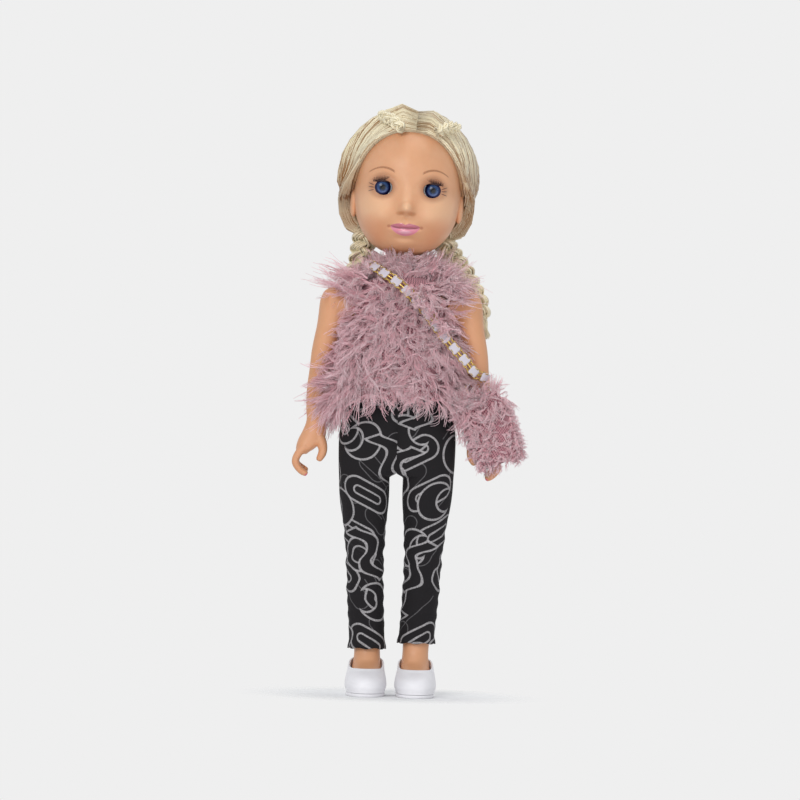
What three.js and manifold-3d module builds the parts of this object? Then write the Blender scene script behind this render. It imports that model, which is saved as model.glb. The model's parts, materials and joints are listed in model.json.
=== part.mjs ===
// A play doll with turning limbs, sleep eyes, knitted top, leggings, shoes and a shoulder bag.
// Millimetres, +Z up. The doll faces -Y and its left side is +X.
import * as THREE from "three";
import { mergeVertices } from "three/addons/utils/BufferGeometryUtils.js";
import Module from "manifold-3d";

const wasm = await Module();
wasm.setup();

// Clearances and walls
const fit = 0.3; // gap between two pieces that touch
const turnGap = 0.35; // gap between two pieces that turn on each other
const vinylWall = 2.6; // arms, legs and head
const torsoWall = 2.4;
const clothWall = 1.2; // leggings

// Heights of the body above the ground, each from the one below it
const legLength = 190; // from the ground to the axis of the hips
const skullHalfHeight = 53;
const neckShown = 10; // between the torso's rim and the head
const hipZ = legLength;
const crotchZ = hipZ - 16;
const kneeZ = hipZ - 85;
const ankleZ = 34;
const waistZ = hipZ + 58;
const chestZ = waistZ + 40;
const shoulderZ = chestZ + 17;
const shoulderTopZ = shoulderZ + 16;
const neckStubTopZ = shoulderTopZ + 10;
const neckPivotZ = neckStubTopZ - 3;
const headCentreZ = neckStubTopZ + neckShown + skullHalfHeight;

// Torso
const torsoDepthCentre = 0;
const torsoHipHalfWidth = 41;
const torsoHipHalfDepth = 24;
const waistHalfWidth = 28.5;
const waistHalfDepth = 19.5;
const chestHalfWidth = 36;
const chestHalfDepth = 21.5;
const neckStubRadius = 13.5;
const neckY = 3;

// Joints of the limbs
const shoulderPlaneX = 35.5; // the torso ends here and the arm begins
const shoulderTilt = 4; // degrees that the shoulder axes drop outwards
const hipPlaneX = 6.2; // half the thickness of the pelvis between the legs
const plugRadius = 5.6; // stem of a limb plug
const plugFlangeRadius = 7.6;
const plugFlangeThickness = 2.2;
const plugDepth = 11; // how far a plug reaches into its limb

// Neck
const neckBallRadius = 10.6;
const neckStemRadius = 8.4;
const neckKnobRadius = 12;
const neckKnobThickness = 4;
const neckKnobChamfer = 2;
const neckThroatRadius = 6.8; // the stem between the ball and the skirt that covers the cup
const neckSkirtRise = 2.6; // from the torso's rim to the skirt
const neckSkirtStep = 0.6; // how much narrower than the torso's rim the skirt is
const headRoll = 2.3; // degrees that the head leans to the doll's left

// Head
const skullHalfWidth = 41.5;
const faceDepth = 45;
const napeDepth = 47;
const jawFullness = 2.35; // exponent of the rounded-square lower head
const earRadius = 12.5;
const eyeX = 19.4;
const eyeZ = -2.3; // under the head's centre
const eyeRadius = 9.3;
const eyeY = -29.2;
const eyeOpeningHalfWidth = 7.4;
const eyeOpeningHalfHeight = 6;
const irisRadius = 5.25;
const eyeCupWall = 1.8;
const eyeTurnGap = 0.8; // between the eyeball and its cup
const eyePinRadius = 1.2;

// Hair
const hairlineRadius = 39.6;
const hairSideThickness = 15.5;
const hairTopThickness = 8.5;
const hairEdgeThickness = 2;
const hairNapeZ = -36;
const hairLift = 1.6; // the cap's inner face above the skull
const braidRadius = 4.2;
const pigtailRadius = 9.5;
const pigtailTipRadius = 4;
const hairTieThickness = 2.4;

// Arm
const armTopRadius = 11.5;
const elbowHalfWidth = 8.8;
const wristHalfWidth = 7.4;
const palmHalfDepth = 9.2;
const fingerRadius = 2.75;
const wristZ = shoulderZ - 94;
const wristX = shoulderPlaneX + 28;
const knuckleZ = wristZ - 21;

// Leg
const thighTopRadius = 19.3;
const legX = 24.9;
const thighHalfWidth = 18;
const hipFullness = 2.7; // exponent of the rounded-square top of the thigh
const kneeX = 22.5;
const kneeHalfWidth = 12.6;
const calfHalfWidth = 12.4;
const ankleX = 18.8;
const ankleHalfWidth = 10;
const footHalfWidth = 12.6;
const footHalfLength = 31;
const footY = -15;

// Clothes
const collarTopZ = shoulderTopZ + 15.6;
const collarRadius = 17;
const topHemZ = hipZ + 39;
const topHemHalfWidth = 46.5;
const topHemHalfDepth = 35;
const topWall = 2.4;
const hemFoldCount = 7;
const hemFoldDepth = 1.8;
const armholeEase = 2.5; // the armhole's radius over the arm's
const closureWidth = 10;
const closureThickness = 1.2;
const slitWidth = 0.8;
const leggingWaistZ = hipZ + 49;
const leggingSeamZ = hipZ - 5.5; // where the seat panel meets the leg panels
const leggingHemZ = ankleZ + 4;
const leggingHemHalfWidth = 14.2;
const elasticHeight = 8;
const elasticDrop = 1.5; // under the leggings' top edge
const elasticThickness = 1;

// Shoes
const shoeHalfWidth = 16.2;
const shoeHalfLength = 34;
const shoeX = 19.2;
const shoeY = -15.5;
const soleThickness = 2.4;
const shoeWall = 1.5;
const shoeFrontZ = 19.4; // top line over the toes
const shoeHeelZ = 28.5; // top line behind the ankle

// Bag
const bagHalfWidth = 19;
const bagHalfHeight = 28;
const bagHalfDepth = 8.5;
const bagCentre = [wristX + 8.2, -21.5, wristZ - 2.3];
const bagLean = -20; // degrees about the front-to-back axis
const bagFlapDrop = 22;
const bagFlapThickness = 1.8;
const bagRingRadius = 3.4;
const bagRingWire = 0.8;
const bagRingSpacing = 17;
const strapRadius = 1.5;

function materialOf(color, roughness, metalness = 0) {
  return () => new THREE.MeshStandardMaterial({ color, roughness, metalness });
}

const skinMaterial = materialOf(0xdca37a, 0.5);
const hardSkinMaterial = materialOf(0xd89d76, 0.4);
const hairMaterial = materialOf(0xd9cba0, 0.45);
const knitMaterial = materialOf(0xc08e97, 0.9);
const leggingMaterial = materialOf(0x1a181a, 0.8);
const shoeMaterial = materialOf(0xe4e4ea, 0.35);
const whiteMaterial = materialOf(0xeeeef2, 0.3);
const irisMaterial = materialOf(0x35568c, 0.1);
const darkMaterial = materialOf(0x201818, 0.7);
const steelMaterial = materialOf(0x8c8c90, 0.4, 1);
const goldMaterial = materialOf(0xc9a24a, 0.3, 1);
const ribbonMaterial = materialOf(0xdcdce6, 0.6);

// Geometry helpers

// The closed skin over a row of rings with the same number of points, with a flat cap on each end.
function skinOver(rings) {
  const sides = rings[0].length;
  const positions = rings.flat().flatMap((p) => [p.x, p.y, p.z]);
  const middle = (ring) => ring.reduce((sum, p) => sum.add(p), new THREE.Vector3()).divideScalar(ring.length);
  const first = middle(rings[0]);
  const last = middle(rings[rings.length - 1]);
  positions.push(first.x, first.y, first.z, last.x, last.y, last.z);
  const firstIndex = rings.length * sides;
  const faces = [];
  for (let i = 0; i < sides; i++) {
    const next = (i + 1) % sides;
    for (let r = 0; r + 1 < rings.length; r++) {
      const a = r * sides + i;
      const b = r * sides + next;
      faces.push(a, b, b + sides, a, b + sides, a + sides);
    }
    const top = (rings.length - 1) * sides;
    faces.push(firstIndex, next, i, firstIndex + 1, top + i, top + next);
  }
  const geometry = new THREE.BufferGeometry();
  geometry.setAttribute("position", new THREE.Float32BufferAttribute(positions, 3));
  geometry.setIndex(faces);
  return geometry;
}

function solidOf(geometry) {
  const bare = geometry.clone();
  bare.deleteAttribute("normal");
  bare.deleteAttribute("uv");
  const merged = mergeVertices(bare, 1e-4);
  const solid = new wasm.Manifold(
    new wasm.Mesh({
      numProp: 3,
      vertProperties: new Float32Array(merged.attributes.position.array),
      triVerts: new Uint32Array(merged.index.array),
    }),
  );
  if (solid.volume() > 0) return solid;
  const index = merged.index.array;
  for (let i = 0; i < index.length; i += 3) [index[i + 1], index[i + 2]] = [index[i + 2], index[i + 1]];
  return new wasm.Manifold(
    new wasm.Mesh({
      numProp: 3,
      vertProperties: new Float32Array(merged.attributes.position.array),
      triVerts: new Uint32Array(index),
    }),
  );
}

// What is left of a cut piece, without the crumbs that the cut leaves beside it.
function largest(solid) {
  return solid.decompose().sort((a, b) => b.volume() - a.volume())[0];
}

function geometryOf(solid) {
  const mesh = solid.getMesh();
  const positions = [];
  for (let i = 0; i < mesh.numVert; i++) {
    positions.push(...mesh.vertProperties.slice(i * mesh.numProp, i * mesh.numProp + 3));
  }
  const geometry = new THREE.BufferGeometry();
  geometry.setAttribute("position", new THREE.Float32BufferAttribute(positions, 3));
  geometry.setIndex(Array.from(mesh.triVerts));
  geometry.computeVertexNormals();
  return geometry;
}

// One level of a limb, torso or garment: a superellipse at height z.
function level(z, x, y, halfWidth, halfDepth, power = 2) {
  return { z, x, y, halfWidth, halfDepth, power };
}

function ringAt(row, sides, grow = 0) {
  const ring = [];
  for (let i = 0; i < sides; i++) {
    const angle = (i / sides) * Math.PI * 2;
    const c = Math.cos(angle);
    const s = Math.sin(angle);
    const x = Math.sign(c) * Math.abs(c) ** (2 / row.power) * (row.halfWidth + grow);
    const y = Math.sign(s) * Math.abs(s) ** (2 / row.power) * (row.halfDepth + grow);
    ring.push(new THREE.Vector3(row.x + x, row.y + y, row.z));
  }
  return ring;
}

// Rows between the given ones, on a smooth curve through them.
function smoothRows(rows, between) {
  const smooth = [];
  const keys = ["z", "x", "y", "halfWidth", "halfDepth", "power"];
  for (let i = 0; i + 1 < rows.length; i++) {
    const at = (j) => rows[Math.min(Math.max(j, 0), rows.length - 1)];
    for (let k = 0; k < between; k++) {
      const t = k / between;
      const row = {};
      for (const key of keys) {
        const [a, b, c, d] = [at(i - 1)[key], at(i)[key], at(i + 1)[key], at(i + 2)[key]];
        const square = 2 * a - 5 * b + 4 * c - d;
        const cube = 3 * b - a - 3 * c + d;
        row[key] = b + ((c - a) * t + square * t ** 2 + cube * t ** 3) / 2;
      }
      row.z = at(i).z + (at(i + 1).z - at(i).z) * t;
      smooth.push(row);
    }
  }
  smooth.push(rows[rows.length - 1]);
  return smooth;
}

function loft(rows, sides, grow = 0) {
  return skinOver(rows.map((row) => ringAt(row, sides, grow)));
}

// The value of one key of a row of levels at height z.
function levelAt(rows, z, key) {
  const upper = Math.max(1, rows.findIndex((row) => row.z >= z));
  const a = rows[upper - 1];
  const b = rows[upper];
  const t = THREE.MathUtils.clamp((z - a.z) / (b.z - a.z), 0, 1);
  return a[key] + (b[key] - a[key]) * t;
}

// A tapered tube through points, with one radius per point and rounded ends.
function taperedTube(points, radii, sides, steps) {
  const curve = new THREE.CatmullRomCurve3(points.map((p) => new THREE.Vector3(...p)));
  const frames = curve.computeFrenetFrames(steps, false);
  const rings = [];
  const addRing = (centre, k, radius) => {
    const ring = [];
    for (let i = 0; i < sides; i++) {
      const angle = (i / sides) * Math.PI * 2;
      const offset = frames.normals[k].clone().multiplyScalar(Math.cos(angle) * radius);
      offset.addScaledVector(frames.binormals[k], Math.sin(angle) * radius);
      ring.push(centre.clone().add(offset));
    }
    rings.push(ring);
  };
  const radiusAt = (t) => {
    const place = t * (radii.length - 1);
    const i = Math.min(Math.floor(place), radii.length - 2);
    return radii[i] + (radii[i + 1] - radii[i]) * (place - i);
  };
  const start = curve.getPointAt(0).addScaledVector(frames.tangents[0], -radiusAt(0) * 0.6);
  addRing(start, 0, radiusAt(0) * 0.6);
  for (let k = 0; k <= steps; k++) addRing(curve.getPointAt(k / steps), k, radiusAt(k / steps));
  const end = curve.getPointAt(1).addScaledVector(frames.tangents[steps], radiusAt(1) * 0.6);
  addRing(end, steps, radiusAt(1) * 0.6);
  return skinOver(rings);
}

function boxBetween(low, high) {
  const size = high.map((value, i) => value - low[i]);
  const box = new THREE.BoxGeometry(...size);
  box.translate(...low.map((value, i) => value + size[i] / 2));
  return solidOf(box);
}

// A cylinder along X from x0 to x1.
function rodAlongX(x0, x1, radius, y, z, sides = 12) {
  const rod = new THREE.CylinderGeometry(radius, radius, x1 - x0, sides);
  rod.rotateZ(-Math.PI / 2);
  rod.translate((x0 + x1) / 2, y, z);
  return solidOf(rod);
}

// A solid of revolution about Z through (x, y), from [radius, z] points.
function turned(outline, x, y, sides = 16) {
  const lathe = new THREE.LatheGeometry(outline.map(([r, z]) => new THREE.Vector2(r, z)), sides);
  lathe.rotateX(Math.PI / 2);
  lathe.translate(x, y, 0);
  return solidOf(lathe);
}

function ball(radius, x, y, z, sides = 16, levels = 10) {
  const sphere = new THREE.SphereGeometry(radius, sides, levels);
  sphere.translate(x, y, z);
  return solidOf(sphere);
}

// The half outline of a cylinder, for turned().
function cylinderOutline(radius, low, high) {
  return [
    [0, low],
    [radius, low],
    [radius, high],
    [0, high],
  ];
}

function neckBall(grow) {
  return ball(neckBallRadius + grow, 0, neckY, neckPivotZ, 16, 8);
}

function mirrored(geometry) {
  const copy = geometry.clone();
  copy.scale(-1, 1, 1);
  const index = copy.index.array;
  for (let i = 0; i < index.length; i += 3) [index[i + 1], index[i + 2]] = [index[i + 2], index[i + 1]];
  copy.computeVertexNormals();
  return copy;
}

const doll = new THREE.Group();
const neckGroup = new THREE.Group(); // turned about the neck's pivot, with the head in it
neckGroup.position.set(0, neckY, neckPivotZ);
neckGroup.rotation.y = THREE.MathUtils.degToRad(headRoll);
doll.add(neckGroup);

function add(name, geometry, material, parent = doll) {
  const mesh = new THREE.Mesh(geometry, material);
  mesh.name = name;
  parent.add(mesh);
  return mesh;
}

// Adds a piece of the head or neck, whose geometry is given in the upright doll's frame.
function addToNeck(name, geometry, material) {
  geometry.translate(0, -neckY, -neckPivotZ);
  return add(name, geometry, material, neckGroup);
}

// Adds a left piece and its mirror image on the right.
function addPair(name, geometry, material, adder = add) {
  const right = mirrored(geometry);
  adder("left_" + name, geometry, material());
  adder("right_" + name, right, material());
}

// Torso

const torsoRows = smoothRows(
  [
    level(crotchZ, 0, torsoDepthCentre, torsoHipHalfWidth * 0.55, torsoHipHalfDepth * 0.65),
    level(hipZ - 8, 0, torsoDepthCentre, torsoHipHalfWidth * 0.85, torsoHipHalfDepth * 0.85),
    level(hipZ + 14, 0, torsoDepthCentre, torsoHipHalfWidth, torsoHipHalfDepth),
    level((hipZ + waistZ) / 2 + 8, 0, torsoDepthCentre, torsoHipHalfWidth * 0.86, torsoHipHalfDepth * 0.92),
    level(waistZ, 0, torsoDepthCentre, waistHalfWidth, waistHalfDepth),
    level((waistZ + chestZ) / 2, 0, torsoDepthCentre, waistHalfWidth + 3.5, waistHalfDepth + 1),
    level(chestZ, 0, torsoDepthCentre, chestHalfWidth, chestHalfDepth, 2.3),
    level(shoulderZ, 0, torsoDepthCentre, shoulderPlaneX + 1.5, chestHalfDepth - 3.5, 2.7),
    level(shoulderTopZ - 3, 0, torsoDepthCentre + 1, chestHalfWidth - 8, neckStubRadius + 1),
    level(shoulderTopZ + 3, 0, neckY, neckStubRadius + 2, neckStubRadius),
    level(neckStubTopZ, 0, neckY, neckStubRadius, neckStubRadius),
  ],
  1,
);

// The space that the top of a leg and its legging turn in, from back to front.
const legSweepRadius = thighTopRadius + clothWall + 3;
function legSweep(side) {
  const far = torsoHipHalfWidth + 20;
  const reach = 80;
  const x0 = side > 0 ? hipPlaneX : -far;
  const x1 = side > 0 ? far : -hipPlaneX;
  let sweep = rodAlongX(x0, x1, legSweepRadius, 0, hipZ, 20);
  for (const angle of [-95, -50, 0, 25]) {
    const slab = new THREE.BoxGeometry(x1 - x0, legSweepRadius * 2, reach);
    slab.translate((x0 + x1) / 2, 0, -reach / 2);
    slab.rotateX(THREE.MathUtils.degToRad(angle));
    slab.translate(0, 0, hipZ);
    sweep = sweep.add(solidOf(slab));
  }
  return sweep;
}

// A shape on the left shoulder's axis, given along X through the origin of the shoulder.
function onShoulder(geometry, side = 1) {
  geometry.rotateY(THREE.MathUtils.degToRad(shoulderTilt) * side);
  geometry.translate(0, 0, shoulderZ);
  return geometry;
}

function shoulderRod(x0, x1, radius, side = 1, sides = 12) {
  const rod = new THREE.CylinderGeometry(radius, radius, x1 - x0, sides);
  rod.rotateZ(-Math.PI / 2);
  rod.translate(((x0 + x1) / 2) * side, 0, 0);
  return solidOf(onShoulder(rod, side));
}

function torsoShell() {
  const outer = solidOf(loft(torsoRows, 18));
  const inner = solidOf(loft(torsoRows, 12, -torsoWall));
  let hollow = inner.intersect(boxBetween([-60, -60, crotchZ + torsoWall], [60, 60, shoulderTopZ + 1]));
  let body = outer;
  for (const side of [1, -1]) {
    const sweep = legSweep(side);
    const wallBehindSweep = rodAlongX(
      side > 0 ? hipPlaneX - torsoWall : -torsoHipHalfWidth - 20,
      side > 0 ? torsoHipHalfWidth + 20 : -hipPlaneX + torsoWall,
      legSweepRadius + torsoWall,
      0,
      hipZ,
      16,
    );
    hollow = hollow.subtract(wallBehindSweep);
    body = body.subtract(sweep);
    const outside = new THREE.BoxGeometry(30, 60, 60);
    outside.translate(side * (shoulderPlaneX + 15), 0, 0);
    body = body.subtract(solidOf(onShoulder(outside, side)));
    const nearWall = new THREE.BoxGeometry(30, 60, 60);
    nearWall.translate(side * (shoulderPlaneX - torsoWall + 15), 0, 0);
    hollow = hollow.subtract(solidOf(onShoulder(nearWall, side)));
  }
  body = body.subtract(hollow);
  for (const side of [1, -1]) {
    const wallX = shoulderPlaneX - torsoWall;
    const room = shoulderRod(wallX - plugFlangeThickness - 3, wallX, plugFlangeRadius + 0.6, side);
    body = body.subtract(room);
    body = body.subtract(shoulderRod(10, shoulderPlaneX + 10, plugRadius + turnGap, side));
    body = body.subtract(
      rodAlongX(side > 0 ? 1 : -20, side > 0 ? 20 : -1, plugRadius + turnGap, 0, hipZ),
    );
  }
  // A room for the two flanges between the walls of the pelvis.
  const flangeRoom = plugFlangeRadius + 1;
  body = body.subtract(rodAlongX(-hipPlaneX + torsoWall, hipPlaneX - torsoWall, flangeRoom, 0, hipZ));
  // The cup of the neck's ball, and the way through it.
  const throughCup = cylinderOutline(neckBallRadius - 3, shoulderTopZ - 6, neckPivotZ);
  return body.subtract(neckBall(turnGap + 0.2)).subtract(turned(throughCup, 0, neckY));
}

const torso = torsoShell();
const reach = 400;
const frontHalf = torso.intersect(boxBetween([-reach, -reach, 0], [reach, -fit / 2, reach]));
const backHalf = torso.intersect(boxBetween([-reach, fit / 2, 0], [reach, reach, reach]));
add("torso_front", geometryOf(frontHalf), hardSkinMaterial());
add("torso_back", geometryOf(backHalf), hardSkinMaterial());

// Limb plugs: a flange inside the torso and a stem into the limb

function shoulderPlug() {
  const flangeX = shoulderPlaneX - torsoWall - turnGap - plugFlangeThickness;
  const flange = shoulderRod(flangeX, flangeX + plugFlangeThickness, plugFlangeRadius);
  return flange.add(shoulderRod(flangeX + plugFlangeThickness / 2, shoulderPlaneX + plugDepth, plugRadius));
}

function hipPlug() {
  const flangeX = fit / 2 + 0.2;
  const flangeEnd = hipPlaneX - torsoWall - turnGap;
  const flange = rodAlongX(flangeX, flangeEnd, plugFlangeRadius, 0, hipZ);
  return flange.add(rodAlongX(flangeX + 0.5, hipPlaneX + plugDepth, plugRadius, 0, hipZ));
}

addPair("shoulder_plug", geometryOf(shoulderPlug()), whiteMaterial);
addPair("hip_plug", geometryOf(hipPlug()), whiteMaterial);

// Arms

const armRows = smoothRows(
  [
    level(knuckleZ - 5, wristX + 10, 0, 3.5, palmHalfDepth - 1.5, 2.4),
    level(knuckleZ - 1, wristX + 8, 0, 7, palmHalfDepth, 2.4),
    level(knuckleZ + 6, wristX + 3.5, 0, 10, palmHalfDepth, 2.4),
    level(knuckleZ + 13, wristX + 1, 0, 9.2, palmHalfDepth - 1.6, 2.2),
    level(wristZ, wristX, 0, wristHalfWidth, wristHalfWidth - 1.2),
    level(wristZ + 10, wristX - 0.3, 0, wristHalfWidth + 0.8, wristHalfWidth),
    level(wristZ + 25, wristX - 1, 0, elbowHalfWidth, elbowHalfWidth - 0.2),
    level(wristZ + 40, wristX - 2.6, 0, elbowHalfWidth, elbowHalfWidth),
    level(wristZ + 56, wristX - 4.9, 0, elbowHalfWidth + 0.8, elbowHalfWidth + 0.6),
    level(shoulderZ - 18, shoulderPlaneX + 18.3, 0, armTopRadius - 0.6, armTopRadius - 0.8),
    level(shoulderZ, shoulderPlaneX + 14.9, 0, armTopRadius + 1, armTopRadius),
    level(shoulderZ + 7, shoulderPlaneX + 13.3, 0, armTopRadius - 0.4, armTopRadius - 2.5),
    level(shoulderZ + 11, shoulderPlaneX + 11.8, 0, armTopRadius - 5, armTopRadius - 6),
    level(shoulderZ + 12.8, shoulderPlaneX + 11, 0, 2.5, 2.5),
  ],
  1,
);

function arm() {
  let body = solidOf(loft(armRows, 12));
  body = body.add(shoulderRod(shoulderPlaneX + turnGap, shoulderPlaneX + 16.5, armTopRadius, 1, 16));
  const behind = new THREE.BoxGeometry(40, 60, 60);
  behind.translate(shoulderPlaneX + turnGap - 20, 0, 0);
  body = body.subtract(solidOf(onShoulder(behind)));
  const fingerGap = palmHalfDepth / 2 - 0.2;
  for (let i = 0; i < 4; i++) {
    const y = (i - 1.5) * fingerGap;
    const short = i === 3 ? 2.5 : 0;
    const path = [
      [wristX + 7.5, y, knuckleZ + 1],
      [wristX + 12.5, y, knuckleZ - 4],
      [wristX + 15.1, y, knuckleZ - 11],
      [wristX + 11, y, knuckleZ - 17.5 + short],
      [wristX + 5.5, y, knuckleZ - 20.5 + short],
    ];
    const radii = [0.5, 0.2, 0, -0.2, -0.5].map((change) => fingerRadius + change);
    body = body.add(solidOf(taperedTube(path, radii, 6, 3)));
  }
  const thumb = [
    [wristX - 1.5, -3, knuckleZ + 12],
    [wristX - 5, -5.5, knuckleZ + 4],
    [wristX - 5.9, -6.5, knuckleZ - 3],
    [wristX - 2.5, -6.5, knuckleZ - 10],
  ];
  body = body.add(solidOf(taperedTube(thumb, [4.6, 4, 3.3, 2.4], 7, 4)));
  const hollowRows = armRows.filter((row) => row.z > wristZ + 6 && row.z < shoulderZ + 9);
  body = body.subtract(solidOf(loft(hollowRows, 8, -vinylWall)));
  return body.subtract(shoulderRod(shoulderPlaneX - 2, shoulderPlaneX + plugDepth + 0.5, plugRadius + fit));
}

addPair("arm", geometryOf(arm()), skinMaterial);

// Legs

const legRows = smoothRows(
  [
    level(ankleZ - 10, ankleX, 1.5, ankleHalfWidth + 0.6, ankleHalfWidth + 3),
    level(ankleZ, ankleX, 4, ankleHalfWidth, ankleHalfWidth + 1),
    level(ankleZ + 22, ankleX + 1, 5, ankleHalfWidth + 1, ankleHalfWidth + 2),
    level(kneeZ - 28, ankleX + 2.6, 5, calfHalfWidth, calfHalfWidth + 1.5),
    level(kneeZ, kneeX, 1, kneeHalfWidth, kneeHalfWidth + 1),
    level(kneeZ + 24, kneeX + 0.8, 0, kneeHalfWidth + 2, kneeHalfWidth + 3),
    level(hipZ - 38, legX - 0.4, 0, thighHalfWidth - 0.6, thighHalfWidth + 0.2),
    level(hipZ - 16, legX, 0, thighHalfWidth, thighTopRadius - 0.4, hipFullness),
    level(hipZ, legX, 0, thighHalfWidth, thighTopRadius, hipFullness),
  ],
  1,
);

const footRows = smoothRows(
  [
    level(soleThickness + 2 * fit + shoeWall, shoeX, footY, footHalfWidth - 1.6, footHalfLength - 1.5, 2.3),
    level(8, shoeX, footY, footHalfWidth, footHalfLength, 2.3),
    level(13, shoeX, footY + 2, footHalfWidth - 0.6, footHalfLength - 3),
    level(19, ankleX + 0.2, -6, footHalfWidth - 1.4, 20.5),
    level(ankleZ - 9, ankleX, 1.2, ankleHalfWidth + 0.6, ankleHalfWidth + 3.5),
  ],
  1,
);

const legSides = 14; // of a leg and of its legging

function leg() {
  let body = solidOf(loft(legRows, legSides)).add(solidOf(loft(footRows, legSides)));
  // The round top that turns on the hip's axis keeps the thigh's outline from above.
  const inX = hipPlaneX + turnGap;
  const column = [
    level(hipZ - 25, legX, 0, thighHalfWidth, thighTopRadius, hipFullness),
    level(hipZ + 2, legX, 0, thighHalfWidth, thighTopRadius, hipFullness),
    level(hipZ + 22, legX - 2, 0, thighHalfWidth - 4, thighTopRadius, hipFullness),
  ];
  const drum = rodAlongX(inX, legX + thighHalfWidth + 1, thighTopRadius, 0, hipZ, 18);
  body = body.add(drum.intersect(solidOf(loft(column, legSides))));
  body = body.subtract(boxBetween([-60, -60, hipZ - 40], [inX, 60, hipZ + 40]));
  const hollowRows = legRows.filter((row) => row.z > ankleZ + 8);
  const hollow = loft(hollowRows, 8, -vinylWall);
  body = body.subtract(solidOf(hollow));
  return body.subtract(rodAlongX(0, hipPlaneX + plugDepth + 0.5, plugRadius + fit, 0, hipZ));
}

addPair("leg", geometryOf(leg()), skinMaterial);

// Neck

function neckKnob() {
  const underHead = headCentreZ - skullHalfHeight;
  const skirtZ = neckStubTopZ + neckSkirtRise;
  const skirtRadius = neckStubRadius - neckSkirtStep;
  const shoulderHeight = underHead - turnGap;
  const knobZ = underHead + vinylWall + turnGap;
  const aboveBall = [
    [0, skirtZ],
    [skirtRadius, skirtZ],
    [skirtRadius, shoulderHeight],
    [neckStemRadius, shoulderHeight],
    [neckStemRadius, knobZ],
    [neckKnobRadius, knobZ],
    [neckKnobRadius - neckKnobChamfer, knobZ + neckKnobThickness],
    [0, knobZ + neckKnobThickness],
  ];
  const throat = cylinderOutline(neckThroatRadius, neckPivotZ, skirtZ + 1);
  return neckBall(0).add(turned(throat, 0, neckY)).add(turned(aboveBall, 0, neckY));
}

addToNeck("neck_knob", geometryOf(neckKnob()), hardSkinMaterial());

// Head. A direction from the head's centre meets the plain skull at this distance.

function skullDistance(d) {
  const power = d.z < 0 ? THREE.MathUtils.lerp(2, jawFullness, Math.min(1, -d.z * 2.2)) : 2;
  const depth = d.y < 0 ? faceDepth : napeDepth;
  const outline = (Math.abs(d.x) / skullHalfWidth) ** power + (Math.abs(d.z) / skullHalfHeight) ** power;
  return 1 / Math.sqrt(outline ** (2 / power) + (d.y / depth) ** 2);
}

function bump(x, z, height, atX, atZ, spreadX, spreadZ) {
  return height * Math.exp(-(((x - atX) / spreadX) ** 2) - ((z - atZ) / spreadZ) ** 2);
}

// How far the features stand in front of the plain skull.
function featureHeight(x, z) {
  const side = Math.abs(x);
  return (
    bump(x, z, 8.5, 0, -19, 3.6, 4.2) +
    bump(x, z, 3.2, 0, -8, 4, 11) +
    bump(x, z, 2.8, 0, -33.5, 9, 5) +
    bump(x, z, 3, 0, -46, 9, 5) +
    bump(side, z, 2.2, 21, -24, 11, 9) +
    bump(x, z, 2, 0, 22, 22, 16) -
    bump(side, z, 2.6, eyeX, eyeZ, 9.5, 7.5)
  );
}

function headPoint(direction, grow = 0) {
  const distance = skullDistance(direction) + grow;
  const p = direction.clone().multiplyScalar(distance);
  if (direction.y < 0) {
    const facing = THREE.MathUtils.smoothstep(-direction.y, 0.1, 0.6);
    p.y -= featureHeight(p.x, p.z) * facing;
  }
  p.z += headCentreZ;
  return p;
}

// A closed shape whose points are the directions of a sphere with its poles on the front-to-back axis.
function headShape(across, down, grow) {
  const sphere = new THREE.SphereGeometry(1, across, down);
  sphere.rotateX(Math.PI / 2);
  const places = sphere.attributes.position;
  const direction = new THREE.Vector3();
  for (let i = 0; i < places.count; i++) {
    direction.fromBufferAttribute(places, i).normalize();
    const p = headPoint(direction, grow);
    places.setXYZ(i, p.x, p.y, p.z);
  }
  return solidOf(sphere);
}

function ear(grow = 0) {
  const shape = new THREE.SphereGeometry(1, 10, 6);
  shape.scale(3.4 + grow, earRadius * 0.55 + grow, earRadius + grow);
  shape.rotateX(THREE.MathUtils.degToRad(-10));
  shape.translate(skullHalfWidth - 0.6, 3, headCentreZ - 13);
  return shape;
}

const eyeHeight = headCentreZ + eyeZ;

function eyeSocket(radius) {
  return ball(radius, eyeX, eyeY, eyeHeight, 12, 8);
}

function eyeOpening() {
  const hole = new THREE.CylinderGeometry(1, 1, 40, 16);
  hole.scale(eyeOpeningHalfWidth, 1, eyeOpeningHalfHeight);
  hole.translate(eyeX, eyeY - 20, eyeHeight);
  return hole;
}

const cupRadius = eyeRadius + eyeTurnGap + eyeCupWall;

function headShell() {
  let shell = headShape(22, 16, 0).subtract(headShape(12, 8, -vinylWall - 0.6));
  const leftEar = ear();
  shell = shell.add(solidOf(leftEar).subtract(headShape(12, 8, -vinylWall)));
  shell = shell.add(solidOf(mirrored(leftEar)).subtract(headShape(12, 8, -vinylWall)));
  for (const side of [1, -1]) {
    const opening = side > 0 ? eyeOpening() : mirrored(eyeOpening());
    shell = shell.subtract(solidOf(opening));
    shell = shell.subtract(ball(cupRadius + fit, side * eyeX, eyeY, eyeHeight, 12, 8));
  }
  const holeLow = headCentreZ - skullHalfHeight - 5;
  const holeHigh = headCentreZ - skullHalfHeight + vinylWall + 3;
  const hole = neckStemRadius + turnGap;
  shell = shell.subtract(turned(cylinderOutline(hole, holeLow, holeHigh), 0, neckY));
  const knobLow = headCentreZ - skullHalfHeight + vinylWall;
  const knobHigh = knobLow + neckKnobThickness + 3;
  const knob = neckKnobRadius + 1.5;
  shell = shell.subtract(turned(cylinderOutline(knob, knobLow, knobHigh), 0, neckY));
  return largest(shell);
}

addToNeck("head_shell", geometryOf(headShell()), skinMaterial());

// Eyes

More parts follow.
